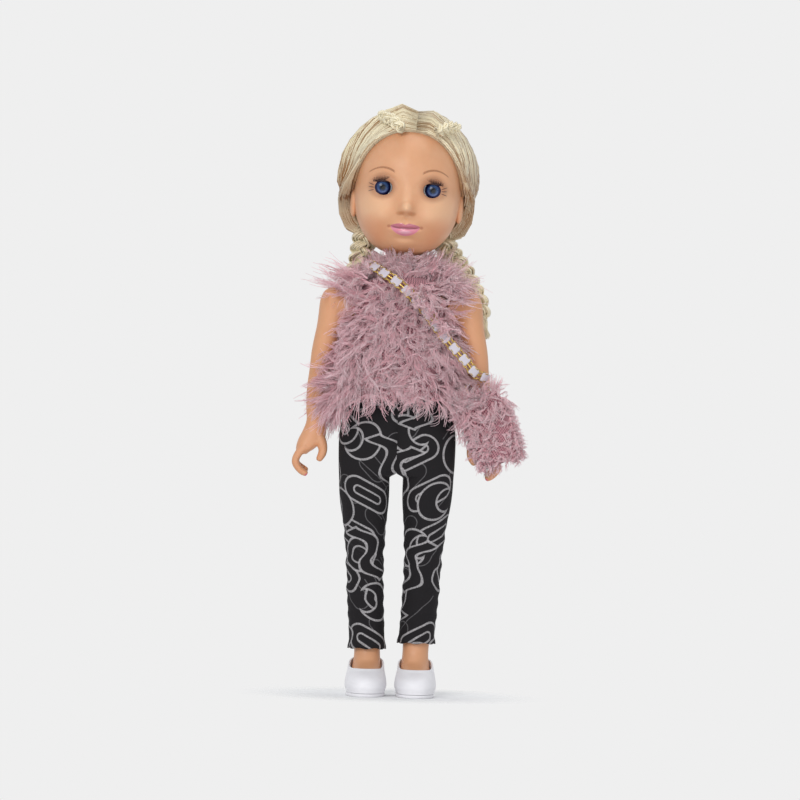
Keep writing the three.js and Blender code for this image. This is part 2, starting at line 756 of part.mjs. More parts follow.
function eyeCup() {
  let cup = eyeSocket(cupRadius).subtract(eyeSocket(eyeRadius + eyeTurnGap));
  // Cut back under the face, open to the front and to the back for the weight's arm.
  cup = cup.intersect(headShape(14, 10, -vinylWall - 0.8));
  const frontY = eyeY - eyeRadius * 0.45;
  cup = cup.subtract(boxBetween([eyeX - 20, eyeY - 30, eyeHeight - 20], [eyeX + 20, frontY, eyeHeight + 20]));
  const slot = [eyeX - 3.6, eyeX + 3.6];
  cup = cup.subtract(boxBetween([slot[0], eyeY + 2, eyeHeight - 20], [slot[1], eyeY + 20, eyeHeight + 20]));
  const pin = eyePinRadius + turnGap;
  return largest(cup.subtract(rodAlongX(eyeX - 20, eyeX + 20, pin, eyeY, eyeHeight, 12)));
}

function eyeball() {
  const pinReach = cupRadius - 0.6;
  let eye = eyeSocket(eyeRadius);
  eye = eye.add(rodAlongX(eyeX - pinReach, eyeX + pinReach, eyePinRadius, eyeY, eyeHeight, 10));
  const seatY = eyeY - Math.sqrt(eyeRadius ** 2 - irisRadius ** 2);
  const seat = new THREE.CylinderGeometry(irisRadius + fit, irisRadius + fit, 10, 16);
  seat.translate(eyeX, seatY - 5 + 1.2, eyeHeight);
  return eye.subtract(solidOf(seat)).subtract(solidOf(lashStrip(fit)));
}

function irisDisc() {
  const seatY = eyeY - Math.sqrt(eyeRadius ** 2 - irisRadius ** 2) + 1.2;
  const disc = new THREE.CylinderGeometry(irisRadius, irisRadius, 40, 16);
  disc.translate(eyeX, seatY - fit - 20, eyeHeight);
  return solidOf(disc).intersect(eyeSocket(eyeRadius + 0.1)).subtract(solidOf(lashStrip(fit)));
}

// A thin curved strip set in the ball along the upper edge of the opening.
function lashStrip(grow = 0) {
  const rings = [];
  const steps = 6;
  for (let i = 0; i <= steps; i++) {
    const angle = THREE.MathUtils.degToRad(-42 + (84 * i) / steps);
    const up = THREE.MathUtils.degToRad(36);
    const inward = eyeRadius - 1.2 - grow;
    const outward = eyeRadius + 1.6 + grow;
    const half = 0.3 + grow;
    const ahead = Math.cos(up);
    const out = new THREE.Vector3(Math.sin(angle) * ahead, -Math.cos(angle) * ahead, Math.sin(up));
    const raise = new THREE.Vector3(0, 0.5, 0.86).multiplyScalar(half);
    const centre = new THREE.Vector3(eyeX, eyeY, eyeHeight);
    const inner = centre.clone().addScaledVector(out, inward);
    const outer = centre.clone().addScaledVector(out, outward);
    rings.push([
      inner.clone().sub(raise),
      outer.clone().sub(raise),
      outer.clone().add(raise),
      inner.clone().add(raise),
    ]);
  }
  return skinOver(rings);
}

function eyeWeight() {
  const rod = taperedTube(
    [
      [eyeX, eyeY + eyeRadius + 1.1, eyeHeight - 1],
      [eyeX, eyeY + eyeRadius + 3, eyeHeight - 3],
      [eyeX, eyeY + eyeRadius + 4.4, eyeHeight - 7],
    ],
    [1.2, 1.2, 1.2],
    8,
    4,
  );
  const bob = new THREE.CylinderGeometry(3, 3, 5, 14);
  bob.rotateZ(Math.PI / 2);
  bob.translate(eyeX, eyeY + eyeRadius + 4.4, eyeHeight - 9.5);
  return solidOf(rod).add(solidOf(bob));
}

addPair("eye_cup", geometryOf(eyeCup()), whiteMaterial, addToNeck);
addPair("eyeball", geometryOf(eyeball()), whiteMaterial, addToNeck);
addPair("iris", geometryOf(irisDisc()), irisMaterial, addToNeck);
addPair("upper_lashes", geometryOf(solidOf(lashStrip())), darkMaterial, addToNeck);
addPair("eye_weight", geometryOf(eyeWeight()), steelMaterial, addToNeck);

// Hair, swept back from the hairline. An angle round the face runs from 0 at the top to 180 degrees below.

function hairlineAngle(round) {
  const quarter = Math.PI / 2;
  const top = Math.atan2(hairlineRadius + 1, 29);
  const side = Math.atan2(hairlineRadius, 13);
  if (round < quarter) return top + (side - top) * (round / quarter) ** 1.5;
  // Below the ear's top the hairline turns back behind the ear.
  return side + THREE.MathUtils.degToRad(32) * THREE.MathUtils.smoothstep(round, 1.48, 1.86);
}

function hairThickness(direction, back) {
  const side = Math.abs(direction.x);
  const full = THREE.MathUtils.lerp(hairTopThickness, hairSideThickness, side) + 2 * Math.max(0, direction.y);
  return hairEdgeThickness + (full - hairEdgeThickness) * THREE.MathUtils.smoothstep(back, 0, 0.55);
}

function hairShell(across, down) {
  const outer = [];
  const inner = [];
  for (let j = 0; j <= down; j++) {
    const outerRing = [];
    const innerRing = [];
    for (let i = 0; i < across; i++) {
      const turn = (i / across) * Math.PI * 2;
      const round = turn > Math.PI ? Math.PI * 2 - turn : turn;
      const start = hairlineAngle(round);
      const angle = start + ((Math.PI * 0.995 - start) * j) / down;
      const direction = new THREE.Vector3(
        Math.sin(turn) * Math.sin(angle),
        -Math.cos(angle),
        Math.cos(turn) * Math.sin(angle),
      );
      outerRing.push(headPoint(direction, hairLift + hairThickness(direction, angle - start)));
      innerRing.push(headPoint(direction, hairLift));
    }
    outer.push(outerRing);
    inner.push(innerRing);
  }
  return skinOver([...inner.reverse(), ...outer]);
}

// The two crown braids lie in the hair on both sides of the parting.
const crownZ = headCentreZ + skullHalfHeight;
const leftBraidPath = [
  [18, -32, crownZ - 11],
  [26, -23, crownZ - 6],
  [33, -13, crownZ - 4],
];
const rightBraidPath = [
  [-9, -34, crownZ - 11],
  [-17, -26, crownZ - 6],
  [-25, -16, crownZ - 3],
];

function crownBraid(path, grow = 0) {
  const thin = braidRadius * 0.75 + grow;
  return taperedTube(path, [thin, braidRadius + grow, thin], 8, 6);
}

function hairCap() {
  let cap = solidOf(hairShell(24, 8));
  cap = cap.subtract(boxBetween([-90, -90, headCentreZ - 90], [90, 90, headCentreZ + hairNapeZ]));
  const leftEar = ear(fit);
  cap = cap.subtract(solidOf(leftEar)).subtract(solidOf(mirrored(leftEar)));
  cap = cap.subtract(solidOf(crownBraid(leftBraidPath, fit)));
  cap = cap.subtract(solidOf(crownBraid(rightBraidPath, fit)));
  return largest(cap);
}

addToNeck("hair_cap", geometryOf(hairCap()), hairMaterial());

function trimmedBraid(path) {
  const braid = solidOf(crownBraid(path)).subtract(headShape(14, 10, fit + 0.4));
  return geometryOf(largest(braid));
}

addToNeck("left_crown_braid", trimmedBraid(leftBraidPath), hairMaterial());
addToNeck("right_crown_braid", trimmedBraid(rightBraidPath), hairMaterial());

// The two pigtails start under the cap, behind the neck, and hang behind the shoulders.
const pigtailTopZ = headCentreZ + hairNapeZ - fit;
const leftPigtailPath = [
  [38, 24, pigtailTopZ - 5],
  [48, 25, pigtailTopZ - 22],
  [57, 27, pigtailTopZ - 40],
  [61, 27, pigtailTopZ - 58],
  [61, 26, pigtailTopZ - 76],
];
const rightPigtailPath = [
  [-37, 24, pigtailTopZ - 5],
  [-40, 26, pigtailTopZ - 22],
  [-42, 28, pigtailTopZ - 40],
  [-43, 28, pigtailTopZ - 57],
  [-43, 27, pigtailTopZ - 73],
];

function pigtail(path) {
  const radii = [pigtailRadius, pigtailRadius, pigtailRadius - 1, pigtailRadius - 2.5, pigtailTipRadius];
  const tail = solidOf(taperedTube(path, radii, 10, 9));
  const cut = boxBetween([-100, -100, pigtailTopZ], [100, 100, pigtailTopZ + 60]);
  return tail.subtract(cut).subtract(headShape(14, 10, fit + 0.4));
}

// A band round the pigtail at one of its points.
function hairTie(path, at) {
  const curve = new THREE.CatmullRomCurve3(path.map((p) => new THREE.Vector3(...p)));
  const centre = curve.getPointAt(at);
  const along = curve.getTangentAt(at);
  const radius = THREE.MathUtils.lerp(pigtailRadius - 2.5, pigtailTipRadius, (at - 0.75) * 4) + 0.5;
  const band = new THREE.CylinderGeometry(radius + 1.1, radius + 1.1, hairTieThickness, 12);
  const bore = new THREE.CylinderGeometry(radius, radius, hairTieThickness + 2, 12);
  const turn = new THREE.Quaternion().setFromUnitVectors(new THREE.Vector3(0, 1, 0), along);
  for (const shape of [band, bore]) {
    shape.applyQuaternion(turn);
    shape.translate(centre.x, centre.y, centre.z);
  }
  return solidOf(band).subtract(solidOf(bore));
}

const tiePlace = 0.8;
addToNeck("left_pigtail", geometryOf(pigtail(leftPigtailPath)), hairMaterial());
addToNeck("right_pigtail", geometryOf(pigtail(rightPigtailPath)), hairMaterial());
addToNeck("left_hair_tie", geometryOf(hairTie(leftPigtailPath, tiePlace)), whiteMaterial());
addToNeck("right_hair_tie", geometryOf(hairTie(rightPigtailPath, tiePlace)), whiteMaterial());

// Knitted top, hanging free from the shoulders in hemFoldCount shallow folds

const topRows = smoothRows(
  [
    level(topHemZ, 0, 0, topHemHalfWidth, topHemHalfDepth),
    level(topHemZ + 20, 0, 0, topHemHalfWidth - 2.6, topHemHalfDepth - 1.5),
    level(topHemZ + 41, 0, 0, topHemHalfWidth - 5.4, topHemHalfDepth - 3.4),
    level(chestZ, 0, 0, chestHalfWidth + 3.2, chestHalfDepth + 8),
    level(shoulderZ, 0, 0, shoulderPlaneX + 3.4, chestHalfDepth + 3),
    level(shoulderTopZ - 1, 0, 1, chestHalfWidth - 3.5, neckStubRadius + 6),
    level(shoulderTopZ + 5, 0, neckY, collarRadius + 3.2, collarRadius + 1),
    level(collarTopZ, 0, neckY, collarRadius, collarRadius),
  ],
  1,
);

function foldedLoft(rows, sides, grow) {
  const rings = rows.map((row) => {
    const low = 1 - THREE.MathUtils.clamp((row.z - topHemZ) / (chestZ - topHemZ), 0, 1);
    return ringAt(row, sides, grow).map((p) => {
      const angle = Math.atan2(p.y / row.halfDepth, p.x / row.halfWidth);
      const fold = hemFoldDepth * low * Math.cos(angle * hemFoldCount + 0.6);
      const outward = new THREE.Vector3(p.x - row.x, p.y - row.y, 0).normalize();
      return p.addScaledVector(outward, fold);
    });
  });
  return skinOver(rings);
}

function knitTop() {
  const innerRows = topRows.map((row) => ({ ...row }));
  innerRows[0].z -= 1;
  innerRows[innerRows.length - 1].z += 1;
  let top = solidOf(foldedLoft(topRows, 36, 0)).subtract(solidOf(foldedLoft(innerRows, 36, -topWall)));
  top = top.subtract(solidOf(loft(torsoRows, 18, fit)));
  for (const side of [1, -1]) {
    top = top.subtract(shoulderRod(20, 70, armTopRadius + armholeEase, side, 16));
  }
  top = top.subtract(boxBetween([-slitWidth / 2, 0, topHemZ - 5], [slitWidth / 2, 80, collarTopZ + 5]));
  return largest(top);
}

add("knit_top", geometryOf(knitTop()), knitMaterial());

// One strip of the back closure, lying inside the top behind its slit.
function closureStrip(layer) {
  const rings = [];
  const lowZ = topHemZ + 14;
  const highZ = shoulderTopZ - 12;
  const steps = 10;
  for (let i = 0; i <= steps; i++) {
    const z = lowZ + ((highZ - lowZ) * i) / steps;
    const foldRoom = hemFoldDepth * (1 - THREE.MathUtils.clamp((z - topHemZ) / (chestZ - topHemZ), 0, 1));
    const inside = levelAt(topRows, z, "y") + levelAt(topRows, z, "halfDepth") - topWall - foldRoom - 0.7;
    const y1 = inside - layer * (closureThickness + fit);
    const y0 = y1 - closureThickness;
    const half = closureWidth / 2;
    rings.push([
      new THREE.Vector3(-half, y0, z),
      new THREE.Vector3(half, y0, z),
      new THREE.Vector3(half, y1, z),
      new THREE.Vector3(-half, y1, z),
    ]);
  }
  return geometryOf(solidOf(skinOver(rings)));
}

add("closure_hook_strip", closureStrip(0), knitMaterial());
add("closure_loop_strip", closureStrip(1), knitMaterial());

// Leggings

const seatRows = smoothRows(
  [
    level(leggingSeamZ + fit, 0, 0, legX + thighHalfWidth + 2.4, thighTopRadius + 2.6, 4.4),
    level(hipZ + 12, 0, 0, legX + thighHalfWidth + 2.2, thighTopRadius + 5, 3),
    level(hipZ + 28, 0, 0, torsoHipHalfWidth + 1.2, torsoHipHalfDepth + 2.4),
    level(hipZ + 40, 0, 0, torsoHipHalfWidth - 3.8, torsoHipHalfDepth + 0.6),
    level(leggingWaistZ, 0, 0, waistHalfWidth + 6, waistHalfDepth + 4),
  ],
  1,
);

const seatSides = 20;

function leggingsSeat() {
  const inner = seatRows.map((row) => ({ ...row }));
  inner[0].z -= 1;
  inner[inner.length - 1].z += 1;
  let seat = solidOf(loft(seatRows, seatSides)).subtract(solidOf(loft(inner, seatSides, -clothWall)));
  // The gusset passes under the pelvis between the legs.
  const lowered = (drop) => [{ ...torsoRows[0], z: crotchZ - drop }, ...torsoRows.slice(1)];
  const gussetHalf = hipPlaneX - 0.2;
  const strip = boxBetween([-gussetHalf, -60, crotchZ - 10], [gussetHalf, 60, leggingSeamZ + 2]);
  seat = seat.add(solidOf(loft(lowered(fit + clothWall), 18, fit + clothWall)).intersect(strip));
  return largest(seat.subtract(solidOf(loft(lowered(fit), 18, fit))));
}

add("leggings_seat", geometryOf(leggingsSeat()), leggingMaterial());

function waistElastic() {
  const high = leggingWaistZ - elasticDrop;
  const rows = [high - elasticHeight, high].map((z) => {
    const halfWidth = levelAt(seatRows, z, "halfWidth") - clothWall - fit;
    const halfDepth = levelAt(seatRows, z, "halfDepth") - clothWall - fit;
    return level(z, 0, 0, halfWidth, halfDepth);
  });
  const inner = [
    { ...rows[0], z: rows[0].z - 1 },
    { ...rows[1], z: rows[1].z + 1 },
  ];
  return solidOf(loft(rows, seatSides)).subtract(solidOf(loft(inner, seatSides, -elasticThickness)));
}

add("waist_elastic", geometryOf(waistElastic()), whiteMaterial());

const leggingRows = smoothRows(
  [
    level(leggingHemZ, ankleX + 0.3, 4.5, leggingHemHalfWidth, leggingHemHalfWidth + 0.6),
    level(leggingHemZ + 6, ankleX + 0.6, 4.8, leggingHemHalfWidth - 0.4, leggingHemHalfWidth + 0.6),
    level(kneeZ - 28, ankleX + 2.6, 4.8, calfHalfWidth + 1.8, calfHalfWidth + 3.3),
    level(kneeZ, kneeX, 1, kneeHalfWidth + 1.9, kneeHalfWidth + 2.8),
    level(kneeZ + 24, kneeX + 0.8, 0, kneeHalfWidth + 3.7, kneeHalfWidth + 4.7),
    level(hipZ - 38, legX - 0.6, 0, thighHalfWidth + 1.1, thighHalfWidth + 1.9),
    level(hipZ - 16, legX, 0, thighHalfWidth + 1.7, thighTopRadius + 1.5, hipFullness),
    level(leggingSeamZ, legX, 0, thighHalfWidth + 1.8, thighTopRadius + 1.9, hipFullness),
  ],
  1,
);

function leggingLeg() {
  const inner = leggingRows.map((row) => ({ ...row }));
  inner[0].z -= 1;
  inner[inner.length - 1].z += 1;
  let sleeve = solidOf(loft(leggingRows, legSides)).subtract(solidOf(loft(inner, legSides, -clothWall)));
  sleeve = sleeve.subtract(solidOf(loft(legRows, legSides, fit)));
  const side = hipPlaneX + turnGap + fit;
  sleeve = sleeve.subtract(boxBetween([-20, -60, hipZ - legSweepRadius - 2], [side, 60, hipZ + 20]));
  return largest(sleeve);
}

addPair("legging", geometryOf(leggingLeg()), leggingMaterial);

// Shoes

const shoeRows = smoothRows(
  [
    level(soleThickness + fit, shoeX, shoeY, shoeHalfWidth - 1.6, shoeHalfLength - 1.2, 2.4),
    level(8, shoeX, shoeY, shoeHalfWidth, shoeHalfLength, 2.4),
    level(14, shoeX, shoeY + 1, shoeHalfWidth - 0.6, shoeHalfLength - 2.2, 2.2),
    level(shoeFrontZ, shoeX, shoeY + 7, shoeHalfWidth - 1.8, shoeHalfLength - 8.4),
    level(shoeHeelZ + 2, ankleX, 2.4, ankleHalfWidth + 3, ankleHalfWidth + 6.2),
  ],
  1,
);

function shoeUpper() {
  const outer = solidOf(loft(shoeRows, 18));
  const cavityRows = shoeRows.filter((row) => row.z > soleThickness + fit + shoeWall);
  const bottom = { ...shoeRows[0], z: soleThickness + fit + shoeWall };
  const topRow = { ...shoeRows[shoeRows.length - 1], z: shoeHeelZ + 6 };
  let upper = outer.subtract(solidOf(loft([bottom, ...cavityRows, topRow], 18, -shoeWall)));
  // The top line rises from the toes to the heel.
  const above = new THREE.BoxGeometry(80, 160, 60);
  above.translate(0, 0, 30);
  above.rotateX(Math.atan2(shoeHeelZ - shoeFrontZ, shoeHalfLength * 1.1));
  above.translate(shoeX, shoeY, shoeFrontZ);
  upper = upper.subtract(solidOf(above));
  upper = upper.subtract(solidOf(loft(footRows, 16, fit)));
  return largest(upper);
}

function shoeSole() {
  const rows = [
    level(0, shoeX, shoeY, shoeHalfWidth - 2.6, shoeHalfLength - 2.4, 2.4),
    level(soleThickness * 0.6, shoeX, shoeY, shoeHalfWidth - 1.2, shoeHalfLength - 0.9, 2.4),
    level(soleThickness, shoeX, shoeY, shoeHalfWidth - 1.2, shoeHalfLength - 0.9, 2.4),
  ];
  return solidOf(loft(rows, 18));
}

addPair("shoe_upper", geometryOf(shoeUpper()), shoeMaterial);
addPair("shoe_sole", geometryOf(shoeSole()), shoeMaterial);

// Bag, built upright about its own centre in a group that leans

const bagGroup = new THREE.Group();
bagGroup.position.set(...bagCentre);
bagGroup.rotation.y = THREE.MathUtils.degToRad(bagLean);
doll.add(bagGroup);

function bagPouch(grow = 0) {
  const rows = [];
  const steps = 8;
  for (let i = 0; i <= steps; i++) {
    const t = -1 + (2 * i) / steps;
    const swell = Math.sqrt(Math.max(0, 1 - Math.abs(t) ** 3.2)) * 0.9 + 0.1;
    const wide = bagHalfWidth * (0.62 + 0.38 * swell) * (1 - 0.08 * t);
    rows.push(level(t * bagHalfHeight, 0, 0, wide, bagHalfDepth * swell * (1 - 0.12 * t), 2.4));
  }
  return loft(rows, 16, grow);
}

function bagFlap() {
  const shell = solidOf(bagPouch(fit + bagFlapThickness)).subtract(solidOf(bagPouch(fit)));
  const low = bagHalfHeight - bagFlapDrop;
  return shell.intersect(boxBetween([-60, -60, low], [60, bagHalfDepth * 0.2, bagHalfHeight - fit]));
}

// A ring of wire through the top corner of the pouch.
function bagRing(x) {
  const ring = new THREE.TorusGeometry(bagRingRadius, bagRingWire, 6, 12);
  ring.rotateY(Math.PI / 2);
  ring.translate(x, 0, bagHalfHeight + fit + bagRingRadius + bagRingWire + 0.2);
  return ring;
}

add("bag_pouch", geometryOf(solidOf(bagPouch())), knitMaterial(), bagGroup);
add("bag_flap", geometryOf(bagFlap()), knitMaterial(), bagGroup);
add("bag_ring_front", bagRing(bagRingSpacing / 2), goldMaterial(), bagGroup);
add("bag_ring_back", bagRing(-bagRingSpacing / 2), goldMaterial(), bagGroup);

// Strap: from the bag up across the chest, over the doll's right shoulder, and down the back to under the
// left arm
const strapPath = [
  [67.8, -24, shoulderZ - 57.1],
  [58.5, -30.5, shoulderZ - 53.5],
  [49.7, -34.5, shoulderZ - 43.5],
  [32.6, -35.5, shoulderZ - 25],
  [17, -33, shoulderZ - 5],
  [0, -28.5, shoulderZ + 12],
  [-13, -24, shoulderZ + 21],
  [-24, -12, shoulderZ + 28],
  [-27, 3, shoulderZ + 29],
  [-22, 20, shoulderZ + 23],
  [-4, 30, shoulderZ + 4],
  [22, 33.5, shoulderZ - 20],
  [42, 24, shoulderZ - 42],
  [50.8, 8, shoulderZ - 57],
  [51.2, -6, shoulderZ - 64],
  [51.9, -17, shoulderZ - 64.4],
];

function strap() {
  const section = new THREE.Shape();
  section.absarc(0, 0, strapRadius, 0, Math.PI * 2);
  const path = new THREE.CatmullRomCurve3(strapPath.map((p) => new THREE.Vector3(...p)));
  return new THREE.ExtrudeGeometry(section, { steps: 38, curveSegments: 3, extrudePath: path });
}

add("bag_strap", geometryOf(solidOf(strap())), ribbonMaterial());

// The origin lies on the ground, under the middle of the whole doll.
const bounds = new THREE.Box3().setFromObject(doll);
doll.position.set(-(bounds.min.x + bounds.max.x) / 2, -(bounds.min.y + bounds.max.y) / 2, 0);

export default doll;
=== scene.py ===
"""A play doll with sleep eyes, braided hair, a fluffy knitted top, printed leggings, shoes and a bag.

The pieces are made in millimetres in the doll's own upright frame: it faces -Y, its left side is +X and the
ground is at zero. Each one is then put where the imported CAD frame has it, in metres.
"""

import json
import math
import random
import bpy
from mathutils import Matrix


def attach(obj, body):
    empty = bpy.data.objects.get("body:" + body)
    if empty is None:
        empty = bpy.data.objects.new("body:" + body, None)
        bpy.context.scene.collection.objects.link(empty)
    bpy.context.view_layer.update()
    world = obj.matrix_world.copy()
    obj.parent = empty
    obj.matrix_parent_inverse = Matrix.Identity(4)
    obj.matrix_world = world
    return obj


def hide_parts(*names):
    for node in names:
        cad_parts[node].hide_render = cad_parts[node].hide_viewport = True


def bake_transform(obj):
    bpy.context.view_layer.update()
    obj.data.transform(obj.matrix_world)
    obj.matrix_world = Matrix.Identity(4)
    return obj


bl_info = {
    "name": "Play Doll",
    "version": (1, 0, 0),
    "blender": (4, 5, 0),
    "location": "View3D > Sidebar > Doll",
    "description": "Builds a dressed play doll round its CAD frame",
    "category": "Object",
}

import bmesh
import bpy
from bpy.props import FloatProperty, FloatVectorProperty, IntProperty, PointerProperty
from mathutils import Matrix, Vector, noise

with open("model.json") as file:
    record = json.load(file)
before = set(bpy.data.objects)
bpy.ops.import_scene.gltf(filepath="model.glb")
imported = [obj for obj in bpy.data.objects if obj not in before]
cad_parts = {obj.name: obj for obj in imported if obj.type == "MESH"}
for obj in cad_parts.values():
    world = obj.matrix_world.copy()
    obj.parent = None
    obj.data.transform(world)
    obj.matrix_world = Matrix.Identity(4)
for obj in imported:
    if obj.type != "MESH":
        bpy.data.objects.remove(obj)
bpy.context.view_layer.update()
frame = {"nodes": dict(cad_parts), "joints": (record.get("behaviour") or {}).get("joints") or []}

TURN = 2 * math.pi
NECK_Y = 3.0
NECK_Z = 328.0
HEAD_Z = 394.0
HEAD_LEAN = math.radians(2.3)
BAG_LEAN = math.radians(-20)
HIP_Z = 190.0
SHOULDER_Z = 305.0
SHOULDER_TILT = math.radians(4)
HUB_BORE = 5.9  # radius of the bores in the arms' and legs' hubs
BAG_CENTRE = (63.5 + 8.2, -21.5, 208.7)
EYE = Vector((19.4, -29.2, -2.3))  # the left eye's centre, from the head's
EYE_RADIUS = 9.3

joints = {joint["name"]: joint for joint in frame["joints"]}
neck_pivot = Vector(joints["head_tilt"]["pos_m"])
DOLL = Matrix.Translation((neck_pivot.x, neck_pivot.y - NECK_Y / 1000, 0)) @ Matrix.Scale(0.001, 4)
HEAD = (
    DOLL
    @ Matrix.Translation((0, NECK_Y, NECK_Z))
    @ Matrix.Rotation(HEAD_LEAN, 4, "Y")
    @ Matrix.Translation((0, -NECK_Y, HEAD_Z - NECK_Z))
)
BAG = DOLL @ Matrix.Translation(BAG_CENTRE) @ Matrix.Rotation(BAG_LEAN, 4, "Y")
SIDES = {"left": 1, "right": -1}
FORWARD = Vector((0, -1, 0))


def linear(colour):
    """The linear value of a colour written as six hexadecimal digits."""
    parts = [int(colour[i : i + 2], 16) / 255 for i in (0, 2, 4)]
    return tuple(c / 12.92 if c <= 0.04045 else ((c + 0.055) / 1.055) ** 2.4 for c in parts)


def colour_property(name, description, colour):
    return FloatVectorProperty(
        name=name, description=description, subtype="COLOR", size=3, min=0, max=1, default=linear(colour)
    )


def length_property(name, description, millimetres):
    return FloatProperty(
        name=name, description=description, subtype="DISTANCE", unit="LENGTH", default=millimetres / 1000
    )


class DollColours(bpy.types.PropertyGroup):
    """The colours of the doll and its clothes."""

    skin: colour_property("Skin", "Vinyl of the face, arms and legs", "DDA279")
    blush: colour_property("Blush", "Paint on the cheeks", "E29468")
    lips: colour_property("Lips", "Gloss paint of the lips", "E88BA2")
    brows: colour_property("Brows", "Paint of the eyebrows", "9C6642")
    iris: colour_property("Iris", "Middle of the iris", "2B4B74")
    iris_rim: colour_property("Iris rim", "Dark ring round the iris", "17183F")
    lashes: colour_property("Lashes", "Lashes and lid line", "2E1219")
    hair_light: colour_property("Hair light", "Sunlit strands", "FFF3D2")
    hair_dark: colour_property("Hair dark", "Strands in the depth of the hair", "A0723A")
    fluff_light: colour_property("Fluff light", "Tips of the eyelash yarn", "FFD5DB")
    fluff_dark: colour_property("Fluff dark", "Ground of the eyelash yarn", "E2A0AA")
    jersey: colour_property("Jersey", "Ground of the leggings", "1A181A")
    print_line: colour_property("Print", "Lines of the leggings' print", "BDB9BA")
    shoes: colour_property("Shoes", "Vinyl of the shoes", "F3F1F4")
    ribbon: colour_property("Ribbon", "Ribbon in the strap", "DED6DE")
    gold: colour_property("Gold", "Chain and rings", "A38A52")
    floor: colour_property("Floor", "Floor and background", "EFEFEF")


class DollSizes(bpy.types.PropertyGroup):
    """The sizes of the doll's soft details."""

    tuft_length: length_property("Tuft length", "Length of one tuft of the fluffy yarn", 17)
    tuft_spread: length_property("Tuft spread", "How far the fibres of a tuft stand apart at its end", 4.8)
    tuft_fibre: length_property("Tuft fibre", "Thickness of one fibre of the fluffy yarn", 0.56)
    tuft_count: IntProperty(name="Tufts", description="Tufts on the top", default=2700, min=10, max=3000)
    hair_fibre: length_property("Hair fibre", "Thickness of one modelled lock of hair", 0.62)
    hair_count: IntProperty(name="Locks", description="Locks of hair a side", default=2350, min=10, max=3000)
    print_line: length_property("Print line", "Width of the lines of the leggings' print", 1.4)


def colours():
    return bpy.context.scene.doll_colours


def millimetres(name):
    """A size of the DollSizes group, in millimetres."""
    return getattr(bpy.context.scene.doll_sizes, name) * 1000


# Small mathematics


def mix(a, b, t):
    return a + (b - a) * t


def clamp(value, low=0.0, high=1.0):
    return max(low, min(high, value))


def smoothstep(value, low, high):
    t = clamp((value - low) / (high - low))
    return t * t * (3 - 2 * t)


def curve_value(points, place):
    """The value at a place of a smooth curve through (place, value) points, sorted by place."""
    if place <= points[0][0]:
        return points[0][1]
    for (a, low), (b, high) in zip(points, points[1:]):
        if place <= b:
            return mix(low, high, smoothstep(place, a, b))
    return points[-1][1]


def spline(a, b, c, d, t):
    """The place t of the smooth curve from b to c, with a before it and d after it."""
    return 0.5 * (2 * b + (c - a) * t + (2 * a - 5 * b + 4 * c - d) * t * t + (3 * b - a - 3 * c + d) * t**3)


def smooth_line(points, count):
    """Points spaced along the smooth curve through the given ones."""
    last = len(points) - 1
    line = []
    for i in range(count):
        place = i / (count - 1) * last
        k = min(int(place), last - 1)
        before, after = points[max(k - 1, 0)], points[min(k + 2, last)]
        line.append(spline(before, points[k], points[k + 1], after, place - k))
    return line


def frames_along(line, up):
    """Two directions across the line at each of its points, turned as little as the line lets them."""
    frames = []
    side = None
    for i in range(len(line)):
        along = (line[min(i + 1, len(line) - 1)] - line[max(i - 1, 0)]).normalized()
        side = (up - along * up.dot(along)) if side is None else (side - along * side.dot(along))
        side.normalize()
        frames.append((side.copy(), along.cross(side)))
    return frames


# Geometry


def bent_grid(shape, across, along):
    """A grid bent to shape(u, v), with u and v from 0 to 1 in its UV map. Edges that meet are joined."""
    bm = bmesh.new()
    bm.loops.layers.uv.verify()
    bmesh.ops.create_grid(bm, x_segments=across, y_segments=along, size=0.5, calc_uvs=True)
    for vert in bm.verts:
        vert.co = shape(clamp(vert.co.x + 0.5), clamp(vert.co.y + 0.5))
    bmesh.ops.remove_doubles(bm, verts=bm.verts, dist=1e-4)
    bmesh.ops.dissolve_degenerate(bm, edges=bm.edges, dist=1e-5)
    bmesh.ops.recalc_face_normals(bm, faces=bm.faces)
    return bm


def capped(bm):
    """Closes the open ends of a tube with a fill."""
    bmesh.ops.holes_fill(bm, edges=[edge for edge in bm.edges if edge.is_boundary], sides=0)
    bmesh.ops.recalc_face_normals(bm, faces=bm.faces)
    return bm


def rows_at(rows, place):
    """One level of a lofted form, between its (z, x, y, half width, half depth, power) rows."""
    last = len(rows) - 1
    scaled = clamp(place) * last
    k = min(int(scaled), last - 1)
    t = scaled - k
    around = (rows[max(k - 1, 0)], rows[k], rows[k + 1], rows[min(k + 2, last)])
    return [mix(rows[k][0], rows[k + 1][0], t)] + [spline(*values, t) for values in list(zip(*around))[1:]]


def ring_point(row, angle, grow=0.0):
    z, x, y, half_width, half_depth, power = row
    c, s = math.cos(angle), math.sin(angle)
    return Vector(
        (
            x + math.copysign(abs(c) ** (2 / power), c) * (half_width + grow),
            y + math.copysign(abs(s) ** (2 / power), s) * (half_depth + grow),
            z,
        )
    )


def level(z, x, y, half_width, half_depth, power=2.0):
    return (z, x, y, half_width, half_depth, power)


def tube(line, radii, sides, up=Vector((0, 0, 1))):
    """A closed tube along a line of points, with one radius for each."""
    frames = frames_along(line, up)
    count = len(line) - 1

    def shape(u, v):
        i = min(round(v * count), count)
        side, other = frames[i]
        angle = u * TURN
        return line[i] + (side * math.cos(angle) + other * math.sin(angle)) * radii[i]

    return capped(bent_grid(shape, sides, count))


def on_side(side, bm):
    """Turns a left piece into a right one where the side is -1."""
    if side < 0:
        bmesh.ops.scale(bm, vec=(-1, 1, 1), verts=bm.verts)
        bmesh.ops.reverse_faces(bm, faces=bm.faces)
    return bm


